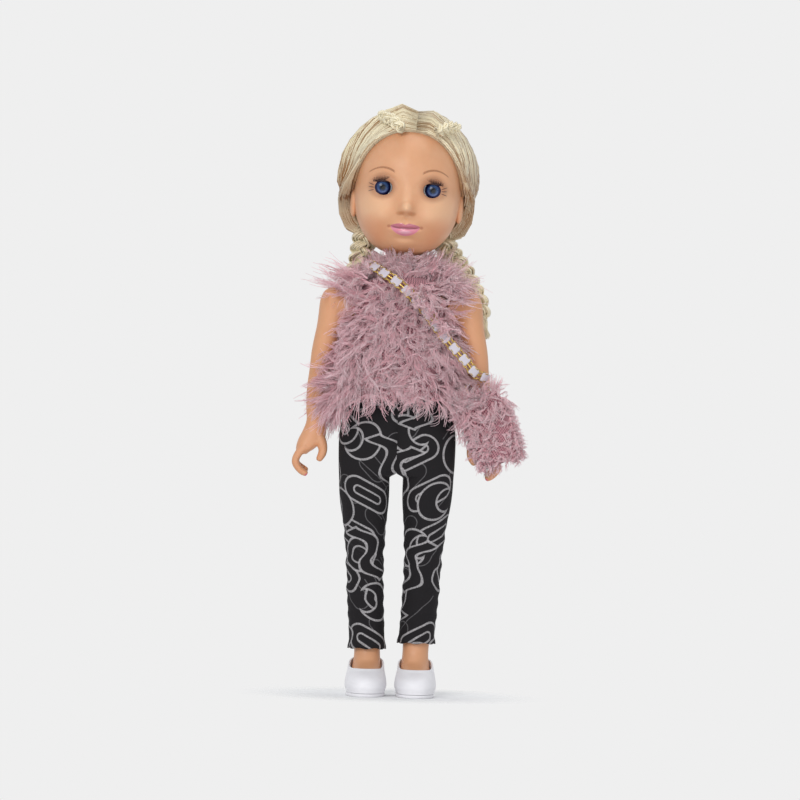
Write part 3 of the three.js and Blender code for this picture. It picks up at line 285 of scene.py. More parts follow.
def joined(*meshes):
    """One bmesh that holds all the given ones."""
    first = meshes[0]
    for bm in meshes[1:]:
        spare = bpy.data.meshes.new("spare")
        bm.to_mesh(spare)
        bm.free()
        first.from_mesh(spare)
        bpy.data.meshes.remove(spare)
    return first


def object_of(name, bm, place=DOLL):
    """An object of a bmesh, put into the frame and shaded smooth."""
    bmesh.ops.transform(bm, matrix=place, verts=bm.verts)
    mesh = bpy.data.meshes.new(name)
    bm.to_mesh(mesh)
    bm.free()
    mesh.shade_smooth()
    made = bpy.data.objects.new(name, mesh)
    bpy.context.scene.collection.objects.link(made)
    return made


def modified(made, kind, **settings):
    """Adds a modifier to an object and applies it to its mesh."""
    modifier = made.modifiers.new(kind.title(), kind)
    for name, value in settings.items():
        setattr(modifier, name, value)
    graph = bpy.context.evaluated_depsgraph_get()
    mesh = bpy.data.meshes.new_from_object(made.evaluated_get(graph))
    old = made.data
    made.modifiers.clear()
    made.data = mesh
    bpy.data.meshes.remove(old)
    mesh.name = made.name
    return made


def cut_by(made, bm, place=DOLL, operation="DIFFERENCE"):
    """Cuts a closed form out of an object, or joins it to the object."""
    tool = object_of("tool", bm, place)
    modified(made, "BOOLEAN", object=tool, operation=operation, solver="EXACT")
    bpy.data.objects.remove(tool)
    return made


def finished(made, body, finish, replaced=()):
    """Gives a piece its body, its finish and the CAD nodes that it stands for."""
    made.data.materials.clear()
    made.data.materials.append(finish)
    if body:
        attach(made, body)
    if replaced:
        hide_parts(*replaced)
    return made


def refinish(node, finish):
    """Gives a CAD node that the scene shows as it is a finish of its own."""
    materials = frame["nodes"][node].data.materials
    materials.clear()
    materials.append(finish)


triangle = None


def fibres(name, strands, place=DOLL):
    """One mesh of thin closed fibres. Each strand is its points, their radii and a shade from 0 to 1.

    The mesh keeps the shade, and the place along the fibre from 0 to 1, as attributes.
    """
    global triangle
    if triangle is None:
        section = bpy.data.curves.new("fibre_section", "CURVE")
        spline = section.splines.new("POLY")
        spline.points.add(2)
        for i, point in enumerate(spline.points):
            point.co = (math.cos(i * TURN / 3), math.sin(i * TURN / 3), 0, 1)
        spline.use_cyclic_u = True
        triangle = bpy.data.objects.new("fibre_section", section)
    curve = bpy.data.curves.new(name, "CURVE")
    curve.dimensions = "3D"
    curve.bevel_mode = "OBJECT"
    curve.bevel_object = triangle
    curve.use_fill_caps = True
    for points, radii, _ in strands:
        spline = curve.splines.new("POLY")
        spline.points.add(len(points) - 1)
        spline.points.foreach_set("co", [c for p in points for c in (p.x, p.y, p.z, 1)])
        spline.points.foreach_set("radius", radii)
    holder = bpy.data.objects.new(name, curve)
    bpy.context.scene.collection.objects.link(holder)
    graph = bpy.context.evaluated_depsgraph_get()
    mesh = bpy.data.meshes.new_from_object(holder.evaluated_get(graph))
    bpy.data.objects.remove(holder)
    bpy.data.curves.remove(curve)
    shades, places = [], []
    for _, _, shade in reversed(strands):
        shades += [shade] * 6
        places += [1.0] * 3 + [0.0] * 3
    for points, _, shade in strands:
        shades += [shade] * (3 * len(points))
        places += [i / (len(points) - 1) for i in range(len(points)) for _ in range(3)]
    mesh.attributes.new("shade", "FLOAT", "POINT").data.foreach_set("value", shades)
    mesh.attributes.new("along", "FLOAT", "POINT").data.foreach_set("value", places)
    bm = bmesh.new()
    bm.from_mesh(mesh)
    bpy.data.meshes.remove(mesh)
    bmesh.ops.remove_doubles(bm, verts=bm.verts, dist=1e-6)
    return object_of(name, bm, place)


# Shader maths


class Socket:
    """A socket of a material's nodes. Arithmetic on it adds Math nodes to its tree."""

    def __init__(self, tree, socket=None):
        self.tree = tree
        self.socket = socket

    def node(self, kind, settings=None, inputs=None, output=0):
        """Adds a node, gives it its settings and then the values or links of its sockets."""
        made = self.tree.nodes.new("ShaderNode" + kind)
        for name, value in (settings or {}).items():
            setattr(made, name, value)
        for name, value in (inputs or {}).items():
            if isinstance(value, Socket):
                self.tree.links.new(value.socket, made.inputs[name])
            else:
                socket = made.inputs[name]
                socket.default_value = (*value, 1) if socket.type == "RGBA" and len(value) == 3 else value
        return Socket(self.tree, made.outputs[output]) if made.outputs else None

    def maths(self, operation, *values):
        return self.node("Math", {"operation": operation}, dict(enumerate(values)))

    def __add__(self, other):
        return self.maths("ADD", self, other)

    __radd__ = __add__

    def __sub__(self, other):
        return self.maths("SUBTRACT", self, other)

    def __rsub__(self, other):
        return self.maths("SUBTRACT", other, self)

    def __mul__(self, other):
        return self.maths("MULTIPLY", self, other)

    __rmul__ = __mul__

    def __truediv__(self, other):
        return self.maths("DIVIDE", self, other)

    def __pow__(self, other):
        return self.maths("POWER", self, other)

    def __abs__(self):
        return self.maths("ABSOLUTE", self)

    def most(self, other):
        return self.maths("MAXIMUM", self, other)

    def step(self, low, high):
        """0 under low, 1 over high and smooth between them. Low may be the greater one."""
        inputs = {0: self, 1: low, 2: high, 3: 0.0, 4: 1.0}
        return self.node("MapRange", {"interpolation_type": "SMOOTHSTEP"}, inputs)

    def blend(self, a, b):
        """The colour a where this is 0, and b where it is 1."""
        inputs = {0: self}
        for name, colour in ((6, a), (7, b)):
            inputs[name] = colour if isinstance(colour, Socket) else (*colour, 1)
        return self.node("Mix", {"data_type": "RGBA"}, inputs, output=2)

    def parts(self):
        """The three components of a vector."""
        separate = self.tree.nodes.new("ShaderNodeSeparateXYZ")
        self.tree.links.new(self.socket, separate.inputs[0])
        return [Socket(self.tree, output) for output in separate.outputs]


def finish_of(name):
    """A new material and the start of its nodes."""
    material = bpy.data.materials.new(name)
    material.use_nodes = True
    tree = material.node_tree
    tree.nodes.clear()
    return material, Socket(tree)


def shaded(start, **inputs):
    """Ends a material with a Principled shader that has these values or links on its sockets."""
    names = {name.replace("_", " ").title().replace("Ior", "IOR"): value for name, value in inputs.items()}
    shader = start.node("BsdfPrincipled", None, names)
    start.node("OutputMaterial", None, {"Surface": shader})


def bump(start, height, distance, strength=1.0):
    """A normal from a height in millimetres, at the object's scale of metres."""
    return start.node("Bump", None, {"Height": height, "Distance": distance / 1000, "Strength": strength})


def place_of(start, frame_matrix=DOLL):
    """Object coordinates in millimetres of the doll's, the head's or the bag's own frame."""
    coordinates = start.node("TexCoord", output=3)
    location, rotation, _ = frame_matrix.decompose()
    return start.node(
        "Mapping",
        {"vector_type": "TEXTURE"},
        {"Vector": coordinates, "Location": location, "Rotation": rotation.to_euler(), "Scale": (0.001,) * 3},
    )


def noise_of(start, vector, scale, detail=2.0, roughness=0.5):
    return start.node(
        "TexNoise", None, {"Vector": vector, "Scale": scale, "Detail": detail, "Roughness": roughness}
    )


def attribute(start, name):
    return start.node("Attribute", {"attribute_name": name}, output=2)


# Finishes


# Soft spots of paint: their place across and up, half width and half height, strength and colour. The first
# list holds painted light, painted highlights and the blush, the second painted shade.
PAINTED_LIGHT_AND_BLUSH = [
    ((26, -17, 18, 17), 0.75, "F5C299"),  # painted light on the cheeks
    ((26, -36, 16, 16), 0.4, None),  # blush
    ((0, -9, 4.5, 13), 0.35, "F2BE95"),  # painted highlight on the bridge of the nose
    ((0, -16.6, 4.8, 4.4), 0.45, "FBD0A6"),  # painted highlight on the tip of the nose
]
PAINTED_SHADE_SPOTS = [
    ((4.6, -21.6, 4.2, 2.2), 0.5, "BC7440"),  # painted shade under the nose
    ((12.6, -31.7, 1.9, 1.6), 0.5, "A05238"),  # painted shade in the corners of the mouth
]


def skin_finish():
    """Matt soft vinyl with painted brows, lips and cheeks, and painted light and shade on the face. The paint
    lies only on the front of the face.
    """
    tint = colours()
    material, start = finish_of("vinyl_skin")
    face = place_of(start, HEAD)
    x, y, z = face.parts()
    side = abs(x)
    front = y.step(-12, -22)

    def spot(across, up, wide, high):
        """1 in the middle of an oval on both sides of the face, and 0 at its edge."""
        distance = ((side - across) / wide) ** 2 + ((z - up) / high) ** 2
        return distance.step(1.0, 0.0)

    mottle = noise_of(start, face, 0.09, 3.0)
    fine = noise_of(start, face, 3.0, 2.0)
    skin = (mottle.step(0.25, 0.75) * 0.35).blend(tint.skin, linear("E9B48C"))
    # Painted light on the cheeks, the blush, and painted highlights on the bridge and tip of the nose.
    for place, strength, colour in PAINTED_LIGHT_AND_BLUSH:
        skin = (spot(*place) * front * strength).blend(skin, linear(colour) if colour else tint.blush)
    # The shade round the lids is deepest at their edge and over the eye.
    round_eye = (((side - EYE.x) / 7.6) ** 2 + ((z - EYE.z - 0.9) / 7.0) ** 2) ** 0.5
    skin = (round_eye.step(1.75, 0.95) * front * 0.6).blend(skin, linear("8E5638"))
    # Painted shade under the nose and in the corners of the mouth.
    for place, strength, colour in PAINTED_SHADE_SPOTS:
        skin = (spot(*place) * front * strength).blend(skin, linear(colour))
    # A brow is an arc that is thickest near the nose.
    brow_place = (side - 10.6) / 20.4
    brow_line = 13.0 - 14.8 * (brow_place - 0.465) ** 2
    brow_half = 0.85 * (1 - brow_place * 0.62)
    brow = (abs(z - brow_line) - brow_half).step(0.5, -0.25)
    brow = brow * brow_place.step(-0.02, 0.06) * brow_place.step(1.02, 0.94) * front
    hairs = noise_of(start, face, 1.4, 2.0).step(0.3, 0.55)
    skin = (brow * (0.55 + hairs * 0.3)).blend(skin, tint.brows)
    # Short painted lashes at the outer corner of each eye.
    corner = (side - 25.8).most(0)
    lash = (abs(z + 1.2 - corner * 0.42) - 0.25).step(0.25, -0.1).most(
        (abs(z + 2.8 - corner * 0.1) - 0.25).step(0.25, -0.1)
    )
    lash = lash.most((abs(z + 4.4 + corner * 0.28) - 0.22).step(0.25, -0.1))
    lash = lash * side.step(25.8, 26.4) * side.step(30.8, 29.2) * front
    skin = (lash * 0.85).blend(skin, tint.lashes)
    # Lips: a fuller lower lip, and an upper lip with a dip in its middle. The corners turn up a little.
    mouth = z + 32.9 - side * side * 0.011
    reach = (1 - (side / 11.6) ** 2).most(0.001)
    upper = mouth - (3.9 * reach**0.8 - 1.2 * (1 - side / 2.8).most(0))
    lower = 0 - mouth - 5.5 * (1 - (side / 11.3) ** 2).most(0.001) ** 0.6
    lips = upper.most(lower).step(0.4, -0.3) * front * side.step(11.9, 10.9)
    parting = (abs(mouth - 0.25 * (1 - side / 3).most(0)) - 0.3).step(0.6, 0.0) * side.step(11.2, 8.5) * front
    lip_colour = mouth.step(-1.0, 0.8).blend(tint.lips, linear("C2677C"))
    # A painted highlight on the middle of the lower lip.
    lip_colour = (spot(0, -35.8, 6.5, 2.0) * 0.6).blend(lip_colour, linear("F4C3D0"))
    skin = (lips * 0.95).blend(skin, lip_colour)
    skin = (parting * 0.8).blend(skin, linear("8C3B46"))
    rough = 0.45 - lips * 0.27 + (fine - 0.5) * 0.06
    shaded(
        start,
        base_color=skin,
        roughness=rough,
        coat_weight=lips * 0.6,
        coat_roughness=0.12,
        subsurface_weight=0.12,
        subsurface_radius=(1.0, 0.45, 0.25),
        subsurface_scale=0.004,
        normal=bump(start, fine, 0.05),
    )
    return material


def vinyl_finish(name, colour, roughness, mottled=0.0, grain=3.0):
    """Plain moulded vinyl or plastic, a little uneven in tint and gloss."""
    material, start = finish_of(name)
    place = place_of(start)
    broad = noise_of(start, place, 0.07, 2.0)
    fine = noise_of(start, place, grain, 2.0)
    darker = tuple(c * 0.82 for c in colour)
    shaded(
        start,
        base_color=(broad.step(0.3, 0.75) * (0.25 + mottled)).blend(colour, darker),
        roughness=roughness + (fine - 0.5) * 0.08,
        normal=bump(start, fine, 0.03),
    )
    return material


def hair_finish():
    """Nylon hair: a shade for each lock, darker near its root, with fine bands of gloss along it."""
    tint = colours()
    material, start = finish_of("hair")
    shade = attribute(start, "shade")
    along = attribute(start, "along")
    place = place_of(start)
    streak = noise_of(start, place, 0.22, 3.0, 0.65)
    # The locks beside the face and under the ears are in the shade of those over them.
    x, _, z = place.parts()
    low = z.step(428, 392) * z.step(352, 366) * abs(x).step(28, 38)
    light = (shade * 1.15 + streak * 0.5 - 0.2 - low * 0.25).step(0.02, 0.9)
    colour = light.blend(tint.hair_dark, tint.hair_light)
    colour = (low * (0.8 - shade * 0.35)).blend(colour, linear("9E6632"))
    colour = ((1 - along.step(0.0, 0.12)) * 0.35).blend(colour, linear("8A6E44"))
    shaded(
        start,
        base_color=colour,
        roughness=0.3 + (streak - 0.5) * 0.2,
        specular_ior_level=0.45,
        sheen_weight=0.15,
        normal=bump(start, noise_of(start, place, 2.2, 2.0), 0.12),
    )
    return material


def fluff_finish(name="fluffy_yarn"):
    """Eyelash yarn: fibres that are darker at the root, as painted shade, and pale at the tip, as painted
    light.
    """
    tint = colours()
    material, start = finish_of(name)
    shade = attribute(start, "shade")
    along = attribute(start, "along")
    place = place_of(start)
    patch = noise_of(start, place, 0.12, 2.0)
    # Besides the random tone of each tuft, each fibre is painted lighter towards its tip as painted light,
    # and darker at its root as painted shade.
    light = (shade * 1.0 + along * 0.35 + patch * 0.5 - 0.27).step(0.05, 0.95)
    colour = light.blend(tint.fluff_dark, tint.fluff_light)
    colour = (shade.step(0.9, 1.0) * 0.6).blend(colour, linear("F0D3D6"))
    shaded(
        start,
        base_color=colour,
        roughness=0.72 - shade * 0.12,
        sheen_weight=1.0,
        sheen_roughness=0.5,
        normal=bump(start, noise_of(start, place, 2.5, 2.0), 0.1),
    )
    return material


def ground_finish():
    """The knitted ground that the yarn's tufts stand on: rows of small stitches."""
    tint = colours()
    material, start = finish_of("knitted_ground")
    place = place_of(start)
    x, y, z = place.parts()
    rows = (z * 2.4).maths("SINE", z * 2.4)
    columns = (x + y).maths("SINE", (x + y) * 2.8)
    knit = rows * columns
    shaded(
        start,
        base_color=knit.step(-1.0, 1.0).blend(linear("7E545C"), tint.fluff_dark),
        roughness=0.9,
        sheen_weight=0.3,
        normal=bump(start, knit, 0.4),
    )
    return material


# The stage


class DOLL_OT_stage(bpy.types.Operator):
    """Floor, soft studio light and the camera"""

    bl_idname = "doll.stage"
    bl_label = "Stage"

    FRAME_WIDTH = 0.621  # metres that the picture shows at the doll
    DISTANCE = 4.5
    AIM = (1.2, 229.0)  # from the doll's axis and the ground
    CAMERA_ROLL = math.radians(1.65)
    AMBIENT = 0.52
    # Where each lamp shines from, its strength and the width of its disc in degrees.
    LAMPS = {
        "key": ((-0.55, -1.4, 0.7), 1.05, 25),
        "fill": ((0.4, -1.3, -0.45), 0.8, 60),
        "top": ((0.1, 0.35, 1.2), 0.85, 50),
    }

    def execute(self, context):
        scene = context.scene
        self.add_floor()
        self.add_world(scene)
        self.add_lights(scene)
        self.add_camera(scene)
        scene.view_settings.view_transform = "Standard"
        return {"FINISHED"}

    def add_floor(self):
        """A disc whose lit colour is the backdrop's, so that only the doll's shadow shows on it."""
        bm = bmesh.new()
        bmesh.ops.create_circle(bm, cap_ends=True, segments=96, radius=700)
        floor = object_of("floor", bm)
        lit_by = self.AMBIENT
        for position, strength, _ in self.LAMPS.values():
            lit_by += strength * max(0, Vector(position).normalized().z) / math.pi
        material, start = finish_of("floor")
        x, y, _ = place_of(start).parts()
        away = (x * x + y * y) ** 0.5
        grey = tuple(c / lit_by for c in colours().floor)
        lit = start.node("BsdfDiffuse", None, {"Color": grey})
        clear = start.node("BsdfTransparent")
        shader = start.node("MixShader", None, {0: away.step(50, 130), 1: lit, 2: clear})
        start.node("OutputMaterial", None, {"Surface": shader})
        floor.data.materials.append(material)

    def add_world(self, scene):
        world = bpy.data.worlds.new("studio")
        scene.world = world
        world.use_nodes = True
        tree = world.node_tree
        tree.nodes.clear()
        start = Socket(tree)
        path = tree.nodes.new("ShaderNodeLightPath")
        seen = Socket(tree, path.outputs["Is Camera Ray"])
        for name in ("Is Glossy Ray", "Is Transmission Ray"):
            seen = seen.most(Socket(tree, path.outputs[name]))
        backdrop = start.node("Background", None, {"Color": (*colours().floor, 1), "Strength": 1.0})
        ambient = start.node("Background", None, {"Color": (0.93, 0.96, 1.0, 1), "Strength": self.AMBIENT})
        shader = start.node("MixShader", None, {0: seen, 1: ambient, 2: backdrop})
        start.node("OutputWorld", None, {"Surface": shader})

    def add_lights(self, scene):
        for name, (position, strength, width) in self.LAMPS.items():
            light = bpy.data.lights.new(name, "SUN")
            light.energy = strength
            light.angle = math.radians(width)
            lamp = bpy.data.objects.new(name, light)
            lamp.rotation_euler = (-Vector(position)).to_track_quat("-Z", "Y").to_euler()
            scene.collection.objects.link(lamp)

    def add_camera(self, scene):
        camera = bpy.data.cameras.new("camera")
        camera.sensor_fit = "HORIZONTAL"
        camera.lens = camera.sensor_width * self.DISTANCE / self.FRAME_WIDTH
        camera.clip_end = 20
        viewer = bpy.data.objects.new("camera", camera)
        right, up = self.AIM
        target = DOLL @ Vector((right, 0, up))
        turned = Matrix.Rotation(math.radians(90), 4, "X") @ Matrix.Rotation(self.CAMERA_ROLL, 4, "Z")
        viewer.matrix_world = Matrix.Translation(target + Vector((0, -self.DISTANCE, 0))) @ turned
        scene.collection.objects.link(viewer)
        scene.camera = viewer


# The head


def skull_distance(d):
    power = mix(2, 2.35, min(1, -d.z * 2.2)) if d.z < 0 else 2
    depth = 45 if d.y < 0 else 47
    outline = (abs(d.x) / 41.5) ** power + (abs(d.z) / 53) ** power
    return 1 / math.sqrt(outline ** (2 / power) + (d.y / depth) ** 2)


# Height, place across and up, spread across and up, and whether it stands on both sides.
FEATURES = [
    (7.4, 0, -18.2, 4.6, 4.8, False),  # tip of the nose
    (2.2, 0, -8, 6.5, 12, False),  # bridge of the nose
    (2.8, 0, -33.5, 9.5, 5.5, False),  # mouth
    (3, 0, -46, 9, 5, False),  # chin
    (2.4, 21, -24, 11, 9, True),  # cheeks
    (2, 0, 22, 22, 16, False),  # forehead
    (-2.6, 19.4, -2.3, 9.5, 7.5, True),  # hollows of the eyes
]
FINE_FEATURES = [
    (3.2, 27.5, -2.3, 4.5, 7, True),  # outer ends of the lids
    (1.5, 4.6, -20.2, 2.2, 2.1, True),  # wings of the nose
    (-1.5, 2.5, -22.6, 1.5, 0.9, True),  # nostrils
    (-0.5, 0, -26.2, 1.3, 2.2, False),  # groove under the nose
    (1.1, 3.0, -30.4, 3.6, 1.5, True),  # upper lip
    (2.1, 0, -35.8, 5.8, 2.2, False),  # lower lip
    (-1.3, 0, -32.9, 9.4, 0.6, False),  # between the lips
    (-1.2, 11.4, -32.2, 1.4, 1.4, True),  # corners of the mouth
    (-0.9, 0, -40.6, 6.5, 1.8, False),  # under the lower lip
]


def feature_height(x, z, fine):
    side = abs(x)
    height = 0.0
    for tall, across, up, wide, high, both in FEATURES + (FINE_FEATURES if fine else []):
        height += tall * math.exp(-((((side if both else x) - across) / wide) ** 2) - ((z - up) / high) ** 2)
    if fine:
        # The raised rim of the lids, and a soft crease over the upper one.
        out = math.hypot((side - EYE.x) / 7.6, (z - EYE.z) / 6.2)
        height += 0.5 * math.exp(-(((out - 1.15) / 0.22) ** 2))
        height -= 0.35 * math.exp(-(((out - 1.6) / 0.2) ** 2)) * smoothstep(z - EYE.z, -1, 4)
    return height


def head_point(d, grow=0.0, fine=False):
    """Where the skin of the head lies in the direction d from its centre."""
    point = d * (skull_distance(d) + grow)
    if d.y < 0:
        point.y -= feature_height(point.x, point.z, fine) * smoothstep(-d.y, 0.1, 0.6)
    return point


def round_face(turn, angle):
    """A direction at an angle from straight ahead, turned round the face from its top."""
    return Vector((math.sin(turn) * math.sin(angle), -math.cos(angle), math.cos(turn) * math.sin(angle)))


def eye_outline(angle):
    """The edge of the left eye's opening, from the head's centre."""
    c, s = math.cos(angle), math.sin(angle)
    corner = 0.3 * max(0, c) ** 6
    return Vector((EYE.x - 0.8 + c * 6.7 + corner, 0, EYE.z + s * 6.0 * (0.9 if s > 0 else 1)))


def ear_form(side):
    def shape(u, v):
        d = round_face(u * TURN, v * math.pi)
        hollow = 1 - 0.32 * math.exp(-(((d.y + 0.25) / 0.4) ** 2) - (d.z / 0.5) ** 2) * max(0, d.x)
        return Vector((3.4 * d.x * hollow, 6.9 * d.y, 12.5 * d.z))

    bm = bent_grid(shape, 40, 28)
    bmesh.ops.rotate(bm, matrix=Matrix.Rotation(math.radians(-10), 3, "X"), verts=bm.verts)
    bmesh.ops.translate(bm, vec=(40.9, 3, -13), verts=bm.verts)
    return on_side(side, bm)


class DOLL_OT_head(bpy.types.Operator):
    """The vinyl head with its face and ears, and the knob of the neck"""

    bl_idname = "doll.head"
    bl_label = "Head"

    WALL = 2.6
    NECK_HOLE = 8.75

    def execute(self, context):
        bm = bent_grid(lambda u, v: head_point(round_face(u * TURN, v * math.pi), 0, True), 208, 150)
        head = object_of("head_vinyl", bm, HEAD)
        for side in SIDES.values():
            cut_by(head, ear_form(side), HEAD, "UNION")
        inner = bent_grid(lambda u, v: head_point(round_face(u * TURN, v * math.pi), -self.WALL), 64, 48)
        cut_by(head, inner, HEAD)
        for side in SIDES.values():

            def opening(u, v, side=side):
                edge = eye_outline(u * TURN)
                return Vector((edge.x * side, mix(-70, -24, v), edge.z))

            cut_by(head, capped(bent_grid(opening, 48, 1)), HEAD)

        def neck_hole(u, v):
            angle = u * TURN
            x, y = self.NECK_HOLE * math.cos(angle), NECK_Y + self.NECK_HOLE * math.sin(angle)
            return Vector((x, y, mix(-60, -44, v)))

        cut_by(head, capped(bent_grid(neck_hole, 40, 1)), HEAD)
        head.data.shade_smooth()
        finished(head, "head", skin_finish(), ["head_shell"])
        self.neck()
        return {"FINISHED"}

    def neck(self):
        # Radius and height of the ball, the collar, the groove for the head's edge and the button.
        outline = [(0, -76.6), (6, -74.8), (9.6, -70.5), (10.6, -66), (9.2, -61), (7.4, -59.6)]
        outline += [(12.9, -60.2), (12.9, -54), (12.4, -53.5), (8.4, -53.4), (8.4, -49.8)]
        outline += [(12, -49.8), (11.4, -46.8), (10, -45.9), (0, -45.8)]

        def shape(u, v):
            place = v * (len(outline) - 1)
            k = min(int(place), len(outline) - 2)
            radius, z = (mix(outline[k][i], outline[k + 1][i], place - k) for i in (0, 1))
            return Vector((radius * math.cos(u * TURN), NECK_Y + radius * math.sin(u * TURN), z))

        neck = object_of("neck_vinyl", bent_grid(shape, 64, (len(outline) - 1) * 3), HEAD)
        finished(neck, "neck", vinyl_finish("neck_vinyl", colours().skin, 0.45), ["neck_knob"])


# The eyes


def eye_finish(side):
    """Glossy white with the lid in skin vinyl over it."""
    tint = colours()
    material, start = finish_of("eyeball_" + side)
    _, y, z = place_of(start, HEAD).parts()
    up = (z - EYE.z) / EYE_RADIUS
    ahead = (EYE.y - y) / EYE_RADIUS
    lid = (up - ahead * 0.78).step(-0.03, 0.03)
    warm = noise_of(start, place_of(start, HEAD), 0.5, 2.0)
    white = (warm.step(0.4, 0.8) * 0.2).blend(linear("F3F2F6"), linear("D8D2DC"))
    shaded(
        start,
        base_color=lid.blend(white, tint.skin),
        roughness=0.1 + lid * 0.35,
        coat_weight=1 - lid,
        coat_roughness=0.03,
    )
    return material


def iris_finish(side):
    """A dark rim, fine rays round a blue middle, the pupil, and painted light in the lower part of the iris.
    """
    tint = colours()
    material, start = finish_of("iris_" + side)
    place = place_of(start, HEAD)
    x, _, z = place.parts()
    across = x - EYE.x * SIDES[side]
    up = z - EYE.z
    radius = (across * across + up * up) ** 0.5
    angle = up.maths("ARCTAN2", up, across)
    spokes = start.node("CombineXYZ", None, {0: angle * 9, 1: radius * 0.35, 2: 0.0})
    rays = start.node("TexNoise", {"noise_dimensions": "2D"}, {"Vector": spokes, "Scale": 1.0, "Detail": 3.0})
    blue = (rays * 0.9 + radius.step(1.5, 4.2) * 0.25).step(0.25, 0.95).blend(linear("1D3364"), tint.iris)
    blue = (rays.step(0.55, 0.8) * radius.step(4.4, 2.4) * 0.45).blend(blue, linear("93B4D2"))
    # Painted light: the lower part of a ring round the pupil is paler, as where light comes through the eye's
    # dome.
    low = (0 - up - abs(across) * 0.4).step(-2.5, 2.5)
    ring = radius.step(2.7, 3.6) * radius.step(4.9, 4.1)
    blue = (ring * low * 0.45).blend(blue, linear("6F7CAE"))
    colour = radius.step(3.9, 4.9).blend(blue, tint.iris_rim)
    colour = radius.step(3.3, 1.3).blend(colour, linear("060A12"))
    shaded(
        start, base_color=colour, roughness=0.5, specular_ior_level=0.0, coat_weight=0.6, coat_roughness=0.02
    )  # fmt: skip
    return material


class DOLL_OT_eyes(bpy.types.Operator):
    """Sleep eyes with iris, lid line and lashes"""

    bl_idname = "doll.eyes"
    bl_label = "Eyes"

    IRIS_RADIUS = 6.3

    def execute(self, context):
        lash_finish = vinyl_finish("lashes", colours().lashes, 0.55)
        random_lash = random.Random(5)
        for name, side in SIDES.items():
            centre = Vector((EYE.x * side, EYE.y, EYE.z))
            edge_angle = math.asin((self.IRIS_RADIUS + 0.12) / EYE_RADIUS)
            seat = EYE_RADIUS * math.cos(edge_angle) - 1.2

            def ball(u, v):
                angle = v * math.pi
                d = round_face(u * TURN, angle)
                p = d * EYE_RADIUS
                if angle < edge_angle:
                    p.y = max(p.y, -seat)
                return centre + p

            eye = object_of(name + "_eye_white", bent_grid(ball, 72, 72), HEAD)
            finished(eye, name + "_eye", eye_finish(name), [name + "_eyeball"])

            def disc(u, v):
                # The domed front of the iris, and then its flat back.
                if v < 0.75:
                    angle = v / 0.75 * math.asin(self.IRIS_RADIUS / (EYE_RADIUS + 0.12))
                    return centre + round_face(u * TURN, angle) * (EYE_RADIUS + 0.12)
                radius = self.IRIS_RADIUS * clamp((1 - v) / 0.25)
                turn = u * TURN
                return centre + Vector((radius * math.sin(turn), -seat - 0.15, radius * math.cos(turn)))

            iris = object_of(name + "_iris_dome", bent_grid(disc, 64, 24), HEAD)
            finished(iris, name + "_eye", iris_finish(name), [name + "_iris"])
            self.lashes(name, side, centre, lash_finish, random_lash)
        return {"FINISHED"}

    def lashes(self, name, side, centre, finish, rng):
        rise = math.radians(30)

        def on_lid(turn, lift=0.0):
            up = math.sin(rise) * math.cos(turn * 0.9)
            d = Vector((math.sin(turn), -math.cos(turn) * math.cos(rise), up))
            return centre + d.normalized() * (EYE_RADIUS + lift)

        line = [on_lid(math.radians(-52 + 104 * i / 24), 0.7) for i in range(25)]
        strands = [(line, [0.3 + 0.95 * math.sin(math.pi * i / 24) for i in range(25)], 0.2)]
        count = 30
        for i in range(count):
            turn = math.radians(-48 + 96 * i / (count - 1) + rng.uniform(-1, 1))
            tall = 2.8 + 1.2 * math.sin(math.pi * i / (count - 1)) + rng.uniform(-0.4, 0.4)
            root = on_lid(turn, 0.3)
            fan = math.sin(turn) * 1.6
            ahead = 3.6 + 3.4 * max(0, -math.sin(turn) * side)
            points = []
            for k in range(6):
                t = k / 5
                points.append(root + Vector((fan * t * t, -ahead * math.sin(t * 1.7), tall * t**1.4)))
            strands.append((points, [0.31 * (1 - t / 6) for t in range(6)], rng.random()))
        lashes = fibres(name + "_lashes", strands, HEAD)
        finished(lashes, name + "_eye", finish, [name + "_upper_lashes"])


# The hair


def hairline_angle(turn):
    """How far from straight ahead the hair begins, at a turn round the face from its top."""
    turn = abs((turn + math.pi) % TURN - math.pi)
    top, beside = math.atan2(40.6, 29), math.atan2(39.6, 13)
    if turn < math.pi / 2:
        return top + (beside - top) * (turn / (math.pi / 2)) ** 1.5
    return beside + math.radians(32) * smoothstep(turn, 1.48, 1.86)


def hair_height(d, factor=1.0):
    """How far over the skull the hair stands in the direction d."""
    turn = math.atan2(d.x, d.z)
    angle = math.acos(clamp(-d.y, -1, 1))
    start = hairline_angle(turn)
    back = (angle - start) / (math.pi - start)
    full = mix(8.5, 19, abs(d.x)) + 2 * max(0, d.y)
    return 1.6 + 2 + (full - 2) * smoothstep(back, 0, 0.55) * factor


